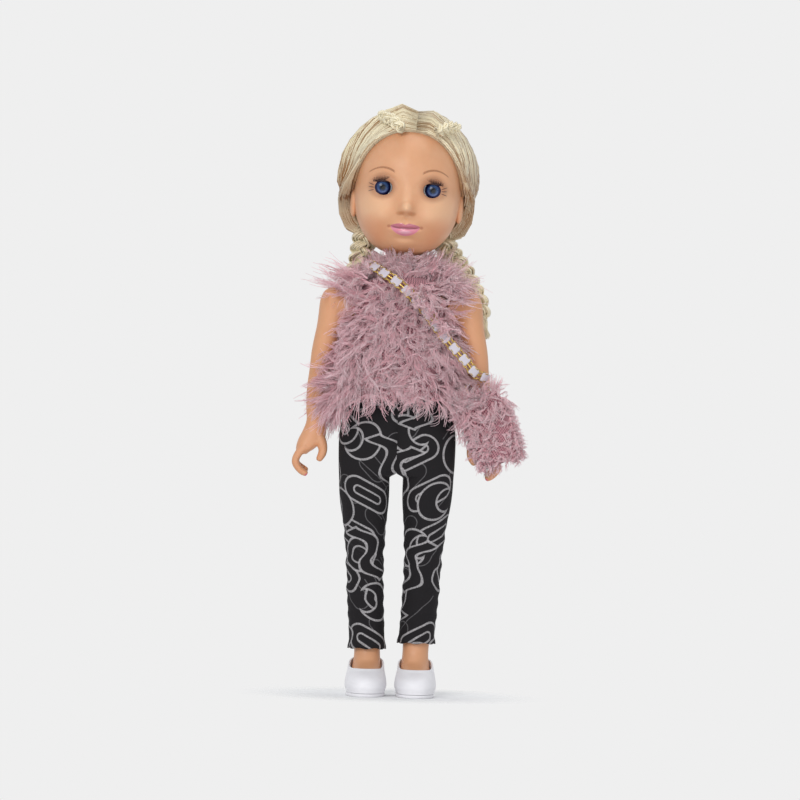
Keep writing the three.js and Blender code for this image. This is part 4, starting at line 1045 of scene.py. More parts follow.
class DOLL_OT_hair(bpy.types.Operator):
    """Hair over the scalp, two short braids at the crown and two plaits behind the neck"""

    bl_idname = "doll.hair"
    bl_label = "Hair"

    PARTING_X = 3.5
    CROWN = {
        "left": [(19, -34, 42.5), (27, -26, 47.5), (36, -14, 48)],
        "right": [(-7, -37, 43), (-15, -30, 49.5), (-25, -18, 54)],
    }
    PLAITS = {
        "left": [(29, 24, 362), (35, 24, 346), (46, 25, 331), (58, 27, 312), (64, 27, 295), (66, 26, 278)],
        "right": [(-29, 24, 364), (-32, 26, 345), (-36, 28, 326), (-40, 28, 306), (-43, 27, 284.7)],
    }
    PLAIT_RADII = [(0, 9.5), (0.25, 10), (0.5, 9), (0.75, 7.2), (1, 4)]

    def execute(self, context):
        self.finish = hair_finish()
        self.cap()
        for name, side in SIDES.items():
            self.scalp(name, side, random.Random(11 if side > 0 else 12))
            self.crown_braid(name, random.Random(21))
            self.plait(name, random.Random(31 if side > 0 else 32))
        return {"FINISHED"}

    def cap(self):
        """The closed ground under the locks."""

        def shape(u, v):
            turn = u * TURN
            outer = v < 0.5
            place = v * 2 if outer else 2 - v * 2
            angle = mix(math.pi, hairline_angle(turn) + 0.03, place)
            d = round_face(turn, angle)
            return head_point(d, clamp(hair_height(d) * 0.66, 0.4, 4.2) if outer else 0.3)

        cap = object_of("hair_ground", bent_grid(shape, 96, 80), HEAD)
        bm = bmesh.new()
        under = Matrix.Translation((0, 0, -36 - 50)) @ Matrix.Diagonal((2, 2, 1, 1))
        bmesh.ops.create_cube(bm, size=100, matrix=under)
        cut_by(cap, bm, HEAD)
        for name in ("shade", "along"):
            layer = cap.data.attributes.new(name, "FLOAT", "POINT")
            layer.data.foreach_set("value", [0.45] * len(cap.data.vertices))
        finished(cap, "head", self.finish, ["hair_cap"])

    def swept(self, side, q, t):
        """The direction at a place t along lock q.

        Locks run from the parting, and from the back under it, to the plait behind the ear.
        The first one follows the hairline, over and behind the ear.
        """
        meet_turn, meet_angle = math.radians(137), math.radians(114.6)
        leaving = mix(hairline_angle(0) + 0.02, math.radians(224), q)
        # The shortest way round the back of the head.
        begin, end = round_face(0, leaving), round_face(side * meet_turn, meet_angle)
        between = begin.angle(end)
        around = (begin * math.sin((1 - t) * between) + end * math.sin(t * between)) / math.sin(between)
        if q > 0.55:
            return around.normalized()
        parting = math.asin(mix(self.PARTING_X, 0, smoothstep(q, 0.25, 0.6)) / 53)
        parting /= max(0.3, math.sin(leaving))
        turn = mix(parting, side * meet_turn, t)
        gone = smoothstep(abs(turn), 0, meet_turn) ** 0.85
        angle = hairline_angle(turn) + (leaving - hairline_angle(0)) * (1 - gone)
        angle += (meet_angle - hairline_angle(meet_turn)) * smoothstep(abs(turn), 1.7, meet_turn)
        return round_face(turn, angle).lerp(around, smoothstep(q, 0.15, 0.55)).normalized()

    def scalp(self, name, side, rng):
        strands = []
        count = bpy.context.scene.doll_sizes.hair_count
        fibre = millimetres("hair_fibre")
        for i in range(count):
            q = (i + rng.random()) / count
            q = q**1.25
            start = 0.0 if rng.random() < 0.6 or q > 0.6 else rng.uniform(0, 0.5)
            tall = rng.uniform(0.86, 1.1)
            wave, drift = rng.uniform(0, TURN), rng.gauss(0, 0.012)
            bundle = mix(5, 15.5, rng.random() ** 0.7)
            points, radii = [], []
            steps = 13
            for k in range(steps):
                t = mix(start, 1.0, k / (steps - 1))
                d = self.swept(side, clamp(q + drift * math.sin(3 * t + wave)), t)
                rise = smoothstep(t - start, -0.02, 0.08)
                height = mix(hair_height(d) * tall * mix(0.55, 1, rise), bundle, smoothstep(t, 0.5, 0.85))
                height *= mix(1, 0.55, smoothstep(t, 0.92, 1.02))
                height += 0.4 * math.sin(wave + t * 9) + self.puff(d)
                points.append(head_point(d, max(0.5, height)))
                radii.append(fibre * (0.4 + 0.45 * math.sin(math.pi * clamp(t * 0.92 + 0.04))))
            band = noise.noise(Vector((q * 75, start * 4, side * 3.3))) * 1.1
            strands.append((points, radii, clamp(0.6 + band + rng.gauss(0, 0.2))))
        scalp = fibres(name + "_hair", strands, HEAD)
        finished(scalp, "head", self.finish)

    def puff(self, d):
        """The hair is loose and stands up a little behind the crown braids."""
        left = math.exp(-(((d.x + 0.16) / 0.2) ** 2) - ((d.y + 0.15) / 0.25) ** 2) * max(0, d.z)
        right = math.exp(-(((d.x - 0.24) / 0.18) ** 2) - ((d.y + 0.15) / 0.25) ** 2) * max(0, d.z)
        return 5 * left + 2.5 * right

    def braided(self, line, radii, rng, fibre, bundle_count, pitch, up):
        """Three bundles of fibres that cross over one another along a line."""
        frames = frames_along(line, up)
        length = [0.0]
        for a, b in zip(line, line[1:]):
            length.append(length[-1] + (b - a).length)
        strands = []
        for k in range(3):
            for _ in range(bundle_count):
                swing, out = rng.uniform(0, TURN), math.sqrt(rng.random())
                loose = rng.uniform(0.9, 1.12)
                points, widths = [], []
                for i, centre in enumerate(line):
                    side, other = frames[i]
                    phase = length[i] / pitch * TURN / 2 + k * TURN / 3
                    wide = radii[i]
                    across = side * math.sin(phase) * wide * 0.52 + other * math.sin(phase * 2) * wide * 0.3
                    turned = swing + length[i] * 0.05
                    across += side * math.cos(turned) * out * wide * 0.46 * loose
                    across += other * math.sin(turned) * out * wide * 0.42 * loose
                    points.append(centre + across)
                    widths.append(fibre * (0.55 if i in (0, len(line) - 1) else 1))
                strands.append((points, widths, clamp(rng.gauss(0.8, 0.2))))
        return strands

    def crown_braid(self, name, rng):
        line = smooth_line([Vector(p) for p in self.CROWN[name]], 26)
        radii = [5.2 * (0.75 + 0.25 * math.sin(math.pi * i / 25)) for i in range(26)]
        strands = self.braided(line, radii, rng, 0.8, 18, 8.5, Vector((0, -1, 1)))
        braid = fibres(name + "_crown_locks", strands, HEAD)
        finished(braid, "head", self.finish, [name + "_crown_braid"])

    def plait(self, name, rng):
        count, kept = 62, 50  # points in all, and down to the tie
        line = smooth_line([Vector(p) for p in self.PLAITS[name]], count)
        radii = [curve_value(self.PLAIT_RADII, i / (count - 1)) for i in range(count)]
        strands = self.braided(line[:kept], radii[:kept], rng, 0.8, 24, 12.5, Vector((1, 0, 0)))
        frames = frames_along(line, Vector((1, 0, 0)))
        # The loose end under the tie.
        for _ in range(70):
            swing, out = rng.uniform(0, TURN), math.sqrt(rng.random())
            spread, points = rng.uniform(0.5, 1.0), []
            for i in range(kept - 3, len(line)):
                side, other = frames[i]
                wide = mix(2.4, 4.4 * spread, smoothstep(i, kept, len(line) - 1))
                wave = 0.5 * math.sin(i * 0.9 + swing * 2)
                across = side * (math.cos(swing) * out * wide + wave)
                points.append(line[i] + across + other * math.sin(swing) * out * wide)
            short = rng.randint(0, 4)
            points = points[: len(points) - short]
            thinner = [0.5 * (1 - 0.6 * k / len(points)) for k in range(len(points))]
            strands.append((points, thinner, clamp(rng.gauss(0.85, 0.15))))
        plait = fibres(name + "_plait", strands)
        finished(plait, "head", self.finish, [name + "_pigtail"])
        band_line = [line[kept - 3 + i] for i in range(4)]
        band = tube(band_line, [3.4, 3.7, 3.7, 3.4], 24, Vector((1, 0, 0)))
        tie = object_of(name + "_tie_band", band)
        elastic = vinyl_finish(name + "_tie", linear("D9C9A8"), 0.5)
        finished(tie, "head", elastic, [name + "_hair_tie"])


# The top


TOP_ROWS = [
    level(229, 0, 0, 46.5, 35), level(249, 0, 0, 43.9, 33.5), level(270, 0, 0, 41.1, 31.6),
    level(288, 0, 0, 39.2, 29.5), level(305, 0, 0, 38.9, 24.5), level(320, 0, 1, 32.5, 19.5),
    level(326, 0, 3, 20.2, 18), level(336.6, 0, 3, 17, 17),
]  # fmt: skip


def row_at(rows, z):
    """The level of a lofted form at the height z."""
    z = clamp(z, rows[0][0], rows[-1][0])
    for k in range(len(rows) - 1):
        if z <= rows[k + 1][0]:
            break
    place = k + (z - rows[k][0]) / (rows[k + 1][0] - rows[k][0])
    return rows_at(rows, place / (len(rows) - 1))


def top_point(angle, z, grow=0.0):
    """The knitted top's ground: folds that fade upwards."""
    row = row_at(TOP_ROWS, z)
    fold = 1.8 * math.cos(7 * angle + 0.8) * smoothstep(z, 288, 240)
    return ring_point(row, angle, grow + fold)


def toward(rng, *parts):
    """A direction whose parts across, back and up are numbers, or (low, high) ranges of random ones."""
    return Vector([rng.uniform(*part) if isinstance(part, tuple) else part for part in parts]).normalized()


def tuft(rng, root, out, down, length, count=7, wild=1.0, openness=1.0):
    """A clump of fibres that bends one way, like a small flame, and opens towards its end."""
    fibre, spread = millimetres("tuft_fibre"), millimetres("tuft_spread") * openness
    side = down.cross(out)
    if side.length < 0.1:
        side = Vector((1, 0, 0)).cross(down)
    side.normalize()
    heading = rng.gauss(0, 0.75 * wild)
    bend = rng.gauss(0, 1.15 * wild)
    lift = clamp(rng.gauss(0.62, 0.3), 0.12, 1.3)
    droop = rng.uniform(0.02, 0.2)
    length *= rng.uniform(0.6, 1.12)
    shade, twist = rng.random(), rng.uniform(0, TURN)
    curl, turns, phase = rng.uniform(0.5, 1.7), rng.uniform(5, 9), rng.uniform(0, TURN)
    steps = 6
    spine = [Vector()]
    for k in range(steps):
        turn = heading + bend * (k + 0.5) / steps
        rise = lift * (1 - 0.75 * k / steps)
        step = down * math.cos(turn) + side * math.sin(turn) + out * rise
        spine.append(spine[-1] + step.normalized() / steps - Vector((0, 0, droop * (k + 0.5) / steps**2 * 2)))
    strands = []
    for _ in range(count):
        place, away = rng.uniform(0, TURN), math.sqrt(rng.random())
        own, reach = rng.uniform(0, TURN), length * rng.uniform(0.65, 1.15)
        crinkle = rng.uniform(0.2, 0.7)
        points, radii = [], []
        for k in range(steps + 1):
            t = k / steps
            open_by = away * (0.3 + spread * 0.5 * t)
            around = place + twist * 0.1 * t
            points.append(
                root
                + spine[k] * reach
                + (side * math.sin(phase + turns * t) + out * math.cos(phase + turns * t)) * (curl * t**0.5)
                + side * (open_by * math.cos(around) + crinkle * math.sin(own + 11 * t))
                + out * (open_by * math.sin(around) * 0.8 + crinkle * math.cos(own + 9 * t))
                + down * (open_by * 0.6 * math.sin(place * 2) + crinkle * 0.6 * math.sin(own * 2 + 8 * t))
            )
            radii.append(fibre * (0.5 - 0.26 * t))
        strands.append((points, radii, clamp(shade + rng.gauss(0, 0.14))))
    return strands


class DOLL_OT_top(bpy.types.Operator):
    """The fluffy knitted top: a ground with tufts of eyelash yarn, and its closure strips"""

    bl_idname = "doll.top"
    bl_label = "Top"

    ARMHOLE_RADIUS = 13.6
    ARMHOLE_Z, COLLAR_Z = 298, 322  # over them the yarn stands out over the shoulder, and up round the neck
    STITCH_ROW = 6.5  # from one row of tufts to the next
    # Loose wisps on each side, and then in all.
    SHOULDER_WISPS, HEM_WISPS, CORNER_WISPS, SLOPE_WISPS = 70, 80, 26, 80
    STRAP_WISPS, COLLAR_WISPS = 44, 110

    def execute(self, context):
        self.ground()
        self.rng = random.Random(3)
        self.length = millimetres("tuft_length")
        self.front, self.back = [], []
        fluff = fluff_finish()
        self.rows_of_tufts(context.scene.doll_sizes.tuft_count)
        for side in SIDES.values():
            self.shoulder(side)
            self.hem(side)
            self.slope(side)
        self.over_strap()
        self.collar()
        for face, strands in (("front", self.front), ("back", self.back)):
            # Each face's tufts are split into three pieces, so that each piece stays small.
            # Each piece stays under the size that the export keeps whole.
            third = len(strands) // 3 + 1
            for k, part in enumerate(("first", "second", "third")):
                piece = fibres("top_tufts_" + face + "_" + part, strands[k * third : (k + 1) * third])
                finished(piece, "torso", fluff)
        refinish("closure_hook_strip", vinyl_finish("hook_strip", linear("CFC6C6"), 0.8, 0.2))
        refinish("closure_loop_strip", vinyl_finish("loop_strip", linear("CFC6C6"), 0.9, 0.2))
        return {"FINISHED"}

    def ground(self):
        """The knitted cloth, with its armholes and the slit of its back closure."""
        low, high = TOP_ROWS[0][0], TOP_ROWS[-1][0]

        def shape(u, v):
            return top_point(u * TURN - math.pi / 2, mix(low, high, v), -1.4)

        ground = object_of("top_ground", bent_grid(shape, 132, 80))
        modified(ground, "SOLIDIFY", thickness=0.0009, offset=-1)
        for side in SIDES.values():
            hole = [Vector((side * (30 + 40 * i), 0, SHOULDER_Z - 2.8 * i)) for i in range(2)]
            cut_by(ground, tube(hole, [self.ARMHOLE_RADIUS] * 2, 48))
        slit = bmesh.new()
        place = Matrix.Translation((0, 40, 283)) @ Matrix.Diagonal((0.8, 60, 130, 1))
        bmesh.ops.create_cube(slit, size=1, matrix=place)
        cut_by(ground, slit)
        finished(ground, "torso", ground_finish(), ["knit_top"])

    def rows_of_tufts(self, count):
        rng = self.rng
        low, high = TOP_ROWS[0][0], TOP_ROWS[-1][0]
        for _ in range(count):
            angle = rng.uniform(0, TURN)
            z = mix(low, high, rng.random() ** 1.1)
            z = mix(round(z / self.STITCH_ROW) * self.STITCH_ROW, z, 0.35)
            root = top_point(angle, clamp(z, low, high), -1.2)
            from_arm = math.hypot(root.y, root.z - 302)
            if abs(root.x) > 33 and from_arm < 12 and z < 316:
                continue
            near = top_point(angle + 0.02, z, -1.2) - root
            above = top_point(angle, min(z + 1, high), -1.2) - top_point(angle, min(z + 1, high) - 1, -1.2)
            out = near.cross(above).normalized()
            down = -above.normalized()
            beside = abs(root.x) / 45
            tall = self.length
            outward = Vector((math.copysign(1, root.x), -0.25 if root.y < 0 else 0.25, 0))
            if z > self.COLLAR_Z:
                # The collar stands up round the neck.
                down = (out * 0.3 + Vector((0, 0, rng.uniform(0.3, 1.2)))).normalized()
            elif abs(root.x) > 24 and z > self.ARMHOLE_Z:
                # The edge of the armhole stands out over the shoulder.
                tall *= rng.uniform(1.0, 1.6)
                down = (down * 0.15 + outward + Vector((0, 0, rng.uniform(-0.3, 0.35)))).normalized()
            elif beside > 0.6:
                # At the sides and the hem the yarn stands out beside the body.
                tall *= mix(1.15, 1.5, smoothstep(z, 300, 240))
                if root.x < -25 and z < 275:
                    tall *= 1.3
                down = (down + outward * rng.uniform(0.2, 2.2) * beside).normalized()
            if root.y < 0:
                self.front += tuft(rng, root, out, down, tall, 8)
            else:
                self.back += tuft(rng, root, out, down, tall, 7)

    def shoulder(self, side):
        """Long wisps lie over the shoulder from the edge of the armhole."""
        rng = self.rng
        up = Vector((0, -0.5, 1)).normalized()
        for _ in range(self.SHOULDER_WISPS):
            height = rng.uniform(306, 323)
            root = Vector((side * (39 - (height - 306) * 0.75), rng.uniform(-17, 8), height))
            outward = toward(rng, side, (-0.5, 0.1), (-0.15, 0.35))
            reach = self.length * rng.uniform(1.2, 2.2 if side > 0 else 2.7)
            self.front += tuft(rng, root, up, outward, reach, wild=0.75)

    def hem(self, side):
        """Darker wisps hang down from the hem at the sides."""
        rng = self.rng
        for _ in range(self.HEM_WISPS):
            angle = rng.uniform(-0.6, 0.75) if side > 0 else math.pi - rng.uniform(-0.6, 0.75)
            root = top_point(angle, rng.uniform(229, 236), -1.5)
            fall = toward(rng, (-0.1 * side, 0.25 * side), (-0.1, 0.2), -1)
            strands = tuft(rng, root, Vector((side, 0, 0)), fall, 28, wild=0.5)
            self.back += [(points, radii, shade * 0.4) for points, radii, shade in strands]

    def slope(self, side):
        """The yarn fills the slope between the collar and the shoulder, most of all under the left plait."""
        rng = self.rng
        for _ in range(self.CORNER_WISPS):
            root = Vector((side * rng.uniform(22, 30), rng.uniform(-6, 6), rng.uniform(321, 324)))
            up = toward(rng, (-0.6, 0.6), (-0.3, 0.3), 1)
            self.front += tuft(rng, root, FORWARD, up, 12, wild=1.2)
        for _ in range(self.SLOPE_WISPS):
            place = rng.random()
            root = Vector((side * mix(17, 34, place), rng.uniform(-13, 7), mix(331, 319.5, place)))
            up = toward(rng, (0, 1.1 * side), (-0.4, 0.2), (0.3, 1))
            reach = self.length * (rng.uniform(0.9, 1.4) if side > 0 else rng.uniform(0.6, 1))
            self.front += tuft(rng, root, Vector((0, -0.6, 0.8)), up, reach, wild=0.7)

    def over_strap(self):
        """Some of the yarn lies over the strap."""
        rng = self.rng
        for _ in range(self.STRAP_WISPS):
            place = rng.random()
            root = Vector((mix(3, 36, place), -33.5, mix(314, 278, place)))
            root += Vector((4, -2.5, 4)) * rng.uniform(0.4, 1.3)
            over = toward(rng, (-1, 0.2), -0.35, (-1, 0.1))
            self.front += tuft(rng, root, FORWARD, over, self.length * rng.uniform(0.6, 1), wild=0.7)

    def collar(self):
        """The collar's yarn reaches up to the chin, and is shorter in front of it."""
        rng = self.rng
        for _ in range(self.COLLAR_WISPS):
            angle = rng.uniform(0, TURN)
            root = top_point(angle, rng.uniform(328, 336), -1)
            out = Vector((root.x, root.y - 3, 0)).normalized()
            up = (out * rng.uniform(0.1, 0.7) + Vector((0, 0, 1))).normalized()
            reach = self.length * (0.5 if root.y < -4 and abs(root.x - 3) < 13 else 0.85)
            strands = tuft(rng, root, out, up, reach, wild=0.6)
            if root.y < 3:
                self.front += strands
            else:
                self.back += strands


# The leggings


SEAT_ROWS = [
    level(184.8, 0, 0, 45.3, 21.9, 4.4), level(202, 0, 0, 45.1, 24.3, 3), level(218, 0, 0, 42.2, 26.4),
    level(230, 0, 0, 37.2, 24.6), level(239, 0, 0, 34.5, 23.5),
]  # fmt: skip
LEGGING_ROWS = [
    level(38, 19.1, 4.5, 14.2, 14.8), level(44, 19.4, 4.8, 13.8, 14.8), level(77, 21.4, 4.8, 14.2, 15.7),
    level(105, 22.5, 1, 14.5, 15.4), level(129, 23.3, 0, 16.3, 17.3), level(152, 24.3, 0, 19.1, 19.9),
    level(174, 24.9, 0, 19.7, 20.8, 2.7), level(184.5, 24.9, 0, 19.8, 21.2, 2.7),
]  # fmt: skip


def jersey_finish(name, side):
    """Near-black jersey printed with outlined capsules, rings and arcs in bright and dim lines."""
    tint = colours()
    material, start = finish_of(name)
    cloth = start.node("TexCoord", output=2)
    across, up, _ = cloth.parts()
    line = millimetres("print_line") * 0.5

    def tile(scale_x, scale_y, shift_x, shift_y, turn):
        """Coordinates in millimetres inside each cell of a turned grid, and a random value for the cell."""
        c, s = math.cos(turn), math.sin(turn)
        x = (across * c + up * s) + shift_x
        y = (up * c - across * s) + shift_y
        cell_x, cell_y = (x / scale_x).maths("FLOOR", x / scale_x), (y / scale_y).maths("FLOOR", y / scale_y)
        inner_x = x - (cell_x + 0.5) * scale_x
        inner_y = y - (cell_y + 0.5) * scale_y
        cell = start.node("CombineXYZ", None, {0: cell_x, 1: cell_y, 2: shift_x})
        value = start.node("TexWhiteNoise", {"noise_dimensions": "3D"}, {"Vector": cell})
        return inner_x, inner_y, value

    def capsule(x, y, half, radius):
        """The distance to a bar with round ends, less than 0 inside it."""
        reach = (abs(x) - half).most(0)
        return (reach * reach + y * y) ** 0.5 - radius

    def outline(distance, wide, soft=0.3):
        return (abs(distance) - wide).step(soft, -0.1)

    def printed(colour, distance, present, inner=None):
        """A shape of plain cloth with a bright outline, over what is printed behind it."""
        colour = (distance.step(0.2, -0.2) * present).blend(colour, ground)
        mask = outline(distance, line)
        if inner:
            mask = mask.most(outline(inner, line * 0.85) * distance.step(0.2, -0.2))
        return (mask * present * worn).blend(colour, tint.print_line)

    worn = noise_of(start, cloth, 0.9, 5.0, 0.7).step(0.3, 0.7) * 0.6 + 0.35
    weave = noise_of(start, cloth, 5.0, 2.0)
    ground = (weave.step(0.3, 0.8) * 0.5).blend(tint.jersey, linear("242124"))
    x, y, value = tile(31, 27, 4 * side, 7, 0.9)
    dim = outline(capsule(x, y, 5, 7), line * 0.4) * value.step(0.25, 0.27)
    x, y, value = tile(24, 58, 4 * side, 3, -0.8)
    dim = dim.most(outline(x, line * 0.35) * (abs(y) - 20).step(0.4, 0) * value.step(0.3, 0.32))
    colour = (dim * 0.55 * worn).blend(ground, linear("8D8A8C"))
    # Bars with a slot.
    x, y, value = tile(47, 35, 21 * side, 5, 0.5)
    colour = printed(colour, capsule(x, y, 10, 9.5), value.step(0.2, 0.21), capsule(x, y, 8, 3.2))
    # Rings and half moons.
    x, y, value = tile(43, 39, 9 * side, 2, -0.35)
    radius = (x * x + y * y) ** 0.5
    bitten = (radius - 14.5).most(9 - ((x - 8) ** 2 + (y - 4) ** 2) ** 0.5)
    moon = value.step(0.5, 0.51)
    shape = moon * bitten + (1 - moon) * (radius - 13)
    colour = printed(colour, shape, value.step(0.2, 0.21), radius - 6.4 + moon * 40)
    # Waved bands.
    x, y, value = tile(58, 51, 5 * side, 11, 1.2)
    wave = abs(y - 6.5 * (x * 0.2).maths("SINE", x * 0.2)) * 0.75 - 4.2
    colour = printed(colour, wave.most(abs(x) - 22), value.step(0.35, 0.36))
    shaded(
        start,
        base_color=colour,
        roughness=0.9,
        specular_ior_level=0.25,
        normal=bump(start, weave, 0.14),
    )
    return material


class DOLL_OT_leggings(bpy.types.Operator):
    """Printed leggings of two panels that meet in the middle"""

    bl_idname = "doll.leggings"
    bl_label = "Leggings"

    LOW, CROTCH, HIGH = 36.5, 172.4, 239.0

    def point(self, angle, z):
        c, s = math.cos(angle), math.sin(angle)
        leg = ring_point(row_at(LEGGING_ROWS, z), angle)
        seat_row = row_at(SEAT_ROWS, z)
        seat = ring_point(seat_row, angle)
        if c < 0:
            seat = Vector((0, ring_point(seat_row, math.copysign(math.pi / 2, s)).y * abs(s), z))
        seat.x = max(seat.x, 0.0)
        rise = smoothstep(z, 166, 190) if c >= 0 else smoothstep(z, 168.5, self.CROTCH)
        point = leg.lerp(seat, rise if z < 190 else 1)
        point.z = z
        # Creases where the cloth bunches at the knee and the ankle, and a flared hem.
        near_ankle = smoothstep(z, 150, 120) * smoothstep(z, 45, 60)
        near_knee = smoothstep(z, 60, 100) * smoothstep(z, 140, 110)
        crease = 0.35 * math.sin(z * 0.62 + 2 * math.sin(angle + 0.6)) * near_ankle
        crease += 0.5 * math.sin(z * 0.33 + 1.7 * math.sin(angle * 2)) * near_knee
        flare = 0.8 * smoothstep(z, 44, 37) * (1 + 0.5 * math.sin(angle * 5))
        outward = Vector((c, s, 0))
        if z < 166:
            point += outward * (crease + flare)
        return point

    def execute(self, context):
        around = 96
        half = around // 2
        for name, side in SIDES.items():
            levels = []
            z = self.LOW
            while z < self.HIGH:
                levels.append(z)
                z += 0.9 if 164 < z < 174 else 2.2
            levels.append(self.HIGH)

            last = len(levels) - 1
            rings = [[self.point((i - half) / around * TURN, z) for i in range(around + 1)] for z in levels]
            # How far each point is from the outer seam, along the cloth.
            across = []
            for ring in rings:
                run = [0.0]
                for a, b in zip(ring, ring[1:]):
                    run.append(run[-1] + (b - a).length)
                across.append([place - run[half] for place in run])

            def shape(u, v):
                i, k = round(u * around), round(v * last)
                point = rings[k][i].copy()
                low = smoothstep(point.z, 62, self.LOW)
                point.z += low * (0.5 * math.sin(u * TURN * 7) + (4.2 if side > 0 else -0.8))
                return point

            bm = bent_grid(shape, around, last)
            inner = [
                face
                for face in bm.faces
                if max(vert.co.x for vert in face.verts) < 0.01 and face.calc_center_median().z > self.CROTCH
            ]
            bmesh.ops.delete(bm, geom=inner, context="FACES")
            # The UV map is in millimetres along the cloth, so that the print keeps its scale.
            layer = bm.loops.layers.uv.verify()
            for face in bm.faces:
                for loop in face.loops:
                    uv = loop[layer].uv
                    loop[layer].uv = (across[round(uv.y * last)][round(uv.x * around)], loop.vert.co.z)
            legging = object_of(name + "_legging_panel", on_side(side, bm))
            modified(legging, "SOLIDIFY", thickness=0.0009, offset=-1)
            jersey = jersey_finish(name + "_jersey", side)
            finished(legging, None, jersey, [name + "_legging"])
            if side > 0:
                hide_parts(name + "_legging", "leggings_seat")
            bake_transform(legging)
        refinish("waist_elastic", vinyl_finish("elastic_band", linear("D8D6D2"), 0.8, 0.2))
        return {"FINISHED"}


# Arms and legs


ARM_ROWS = [
    level(185, 73.5, 0, 3.5, 7.7, 2.4), level(189, 71.5, 0, 7, 9.2, 2.4), level(196, 67, 0, 10, 9.2, 2.4),
    level(203, 64.5, 0, 9.2, 7.6, 2.2), level(211, 63.5, 0, 7.4, 6.2), level(221, 63.2, 0, 8.2, 7.4),
    level(236, 62.5, 0, 8.8, 8.6), level(251, 60.9, 0, 8.8, 8.8), level(267, 58.6, 0, 9.6, 9.4),
    level(287, 53.8, 0, 10.9, 10.7), level(305, 50.4, 0, 12.5, 11.5), level(312, 48.8, 0, 11.1, 9),
    level(316, 47.3, 0, 6.5, 5.5), level(317.8, 46.5, 0, 2.5, 2.5),
]  # fmt: skip
LEG_ROWS = [
    level(24, 18.8, 1.5, 10.6, 13), level(34, 18.8, 4, 10, 11), level(56, 19.8, 5, 11, 12),
    level(77, 21.4, 5, 12.4, 13.9), level(105, 22.5, 1, 12.6, 13.6), level(129, 23.3, 0, 14.6, 15.6),
    level(152, 24.5, 0, 17.4, 18.2), level(174, 24.9, 0, 18, 18.9, 2.7), level(190, 24.9, 0, 18, 19.3, 2.7),
]  # fmt: skip
FOOT_ROWS = [
    level(4.5, 19.2, -15, 11, 29.5, 2.3), level(8, 19.2, -15, 12.6, 31, 2.3), level(13, 19.2, -13, 12, 28),
    level(19, 19, -5.5, 11.6, 21), level(25, 18.8, 1.3, 10.6, 13.6), level(34, 18.8, 4, 9.6, 10.6),
]  # fmt: skip


def lofted(rows, around, along):
    """A closed form through levels."""
    low, high = rows[0][0], rows[-1][0]

    def shape(u, v):
        return ring_point(row_at(rows, mix(low, high, v)), u * TURN)

    return capped(bent_grid(shape, around, along))


def drum(x, reach, radius, z, around=64):
    """A closed round bar along X."""
    return tube([Vector((x + (reach - x) * i / 2, 0, z)) for i in range(3)], [radius] * 3, around)


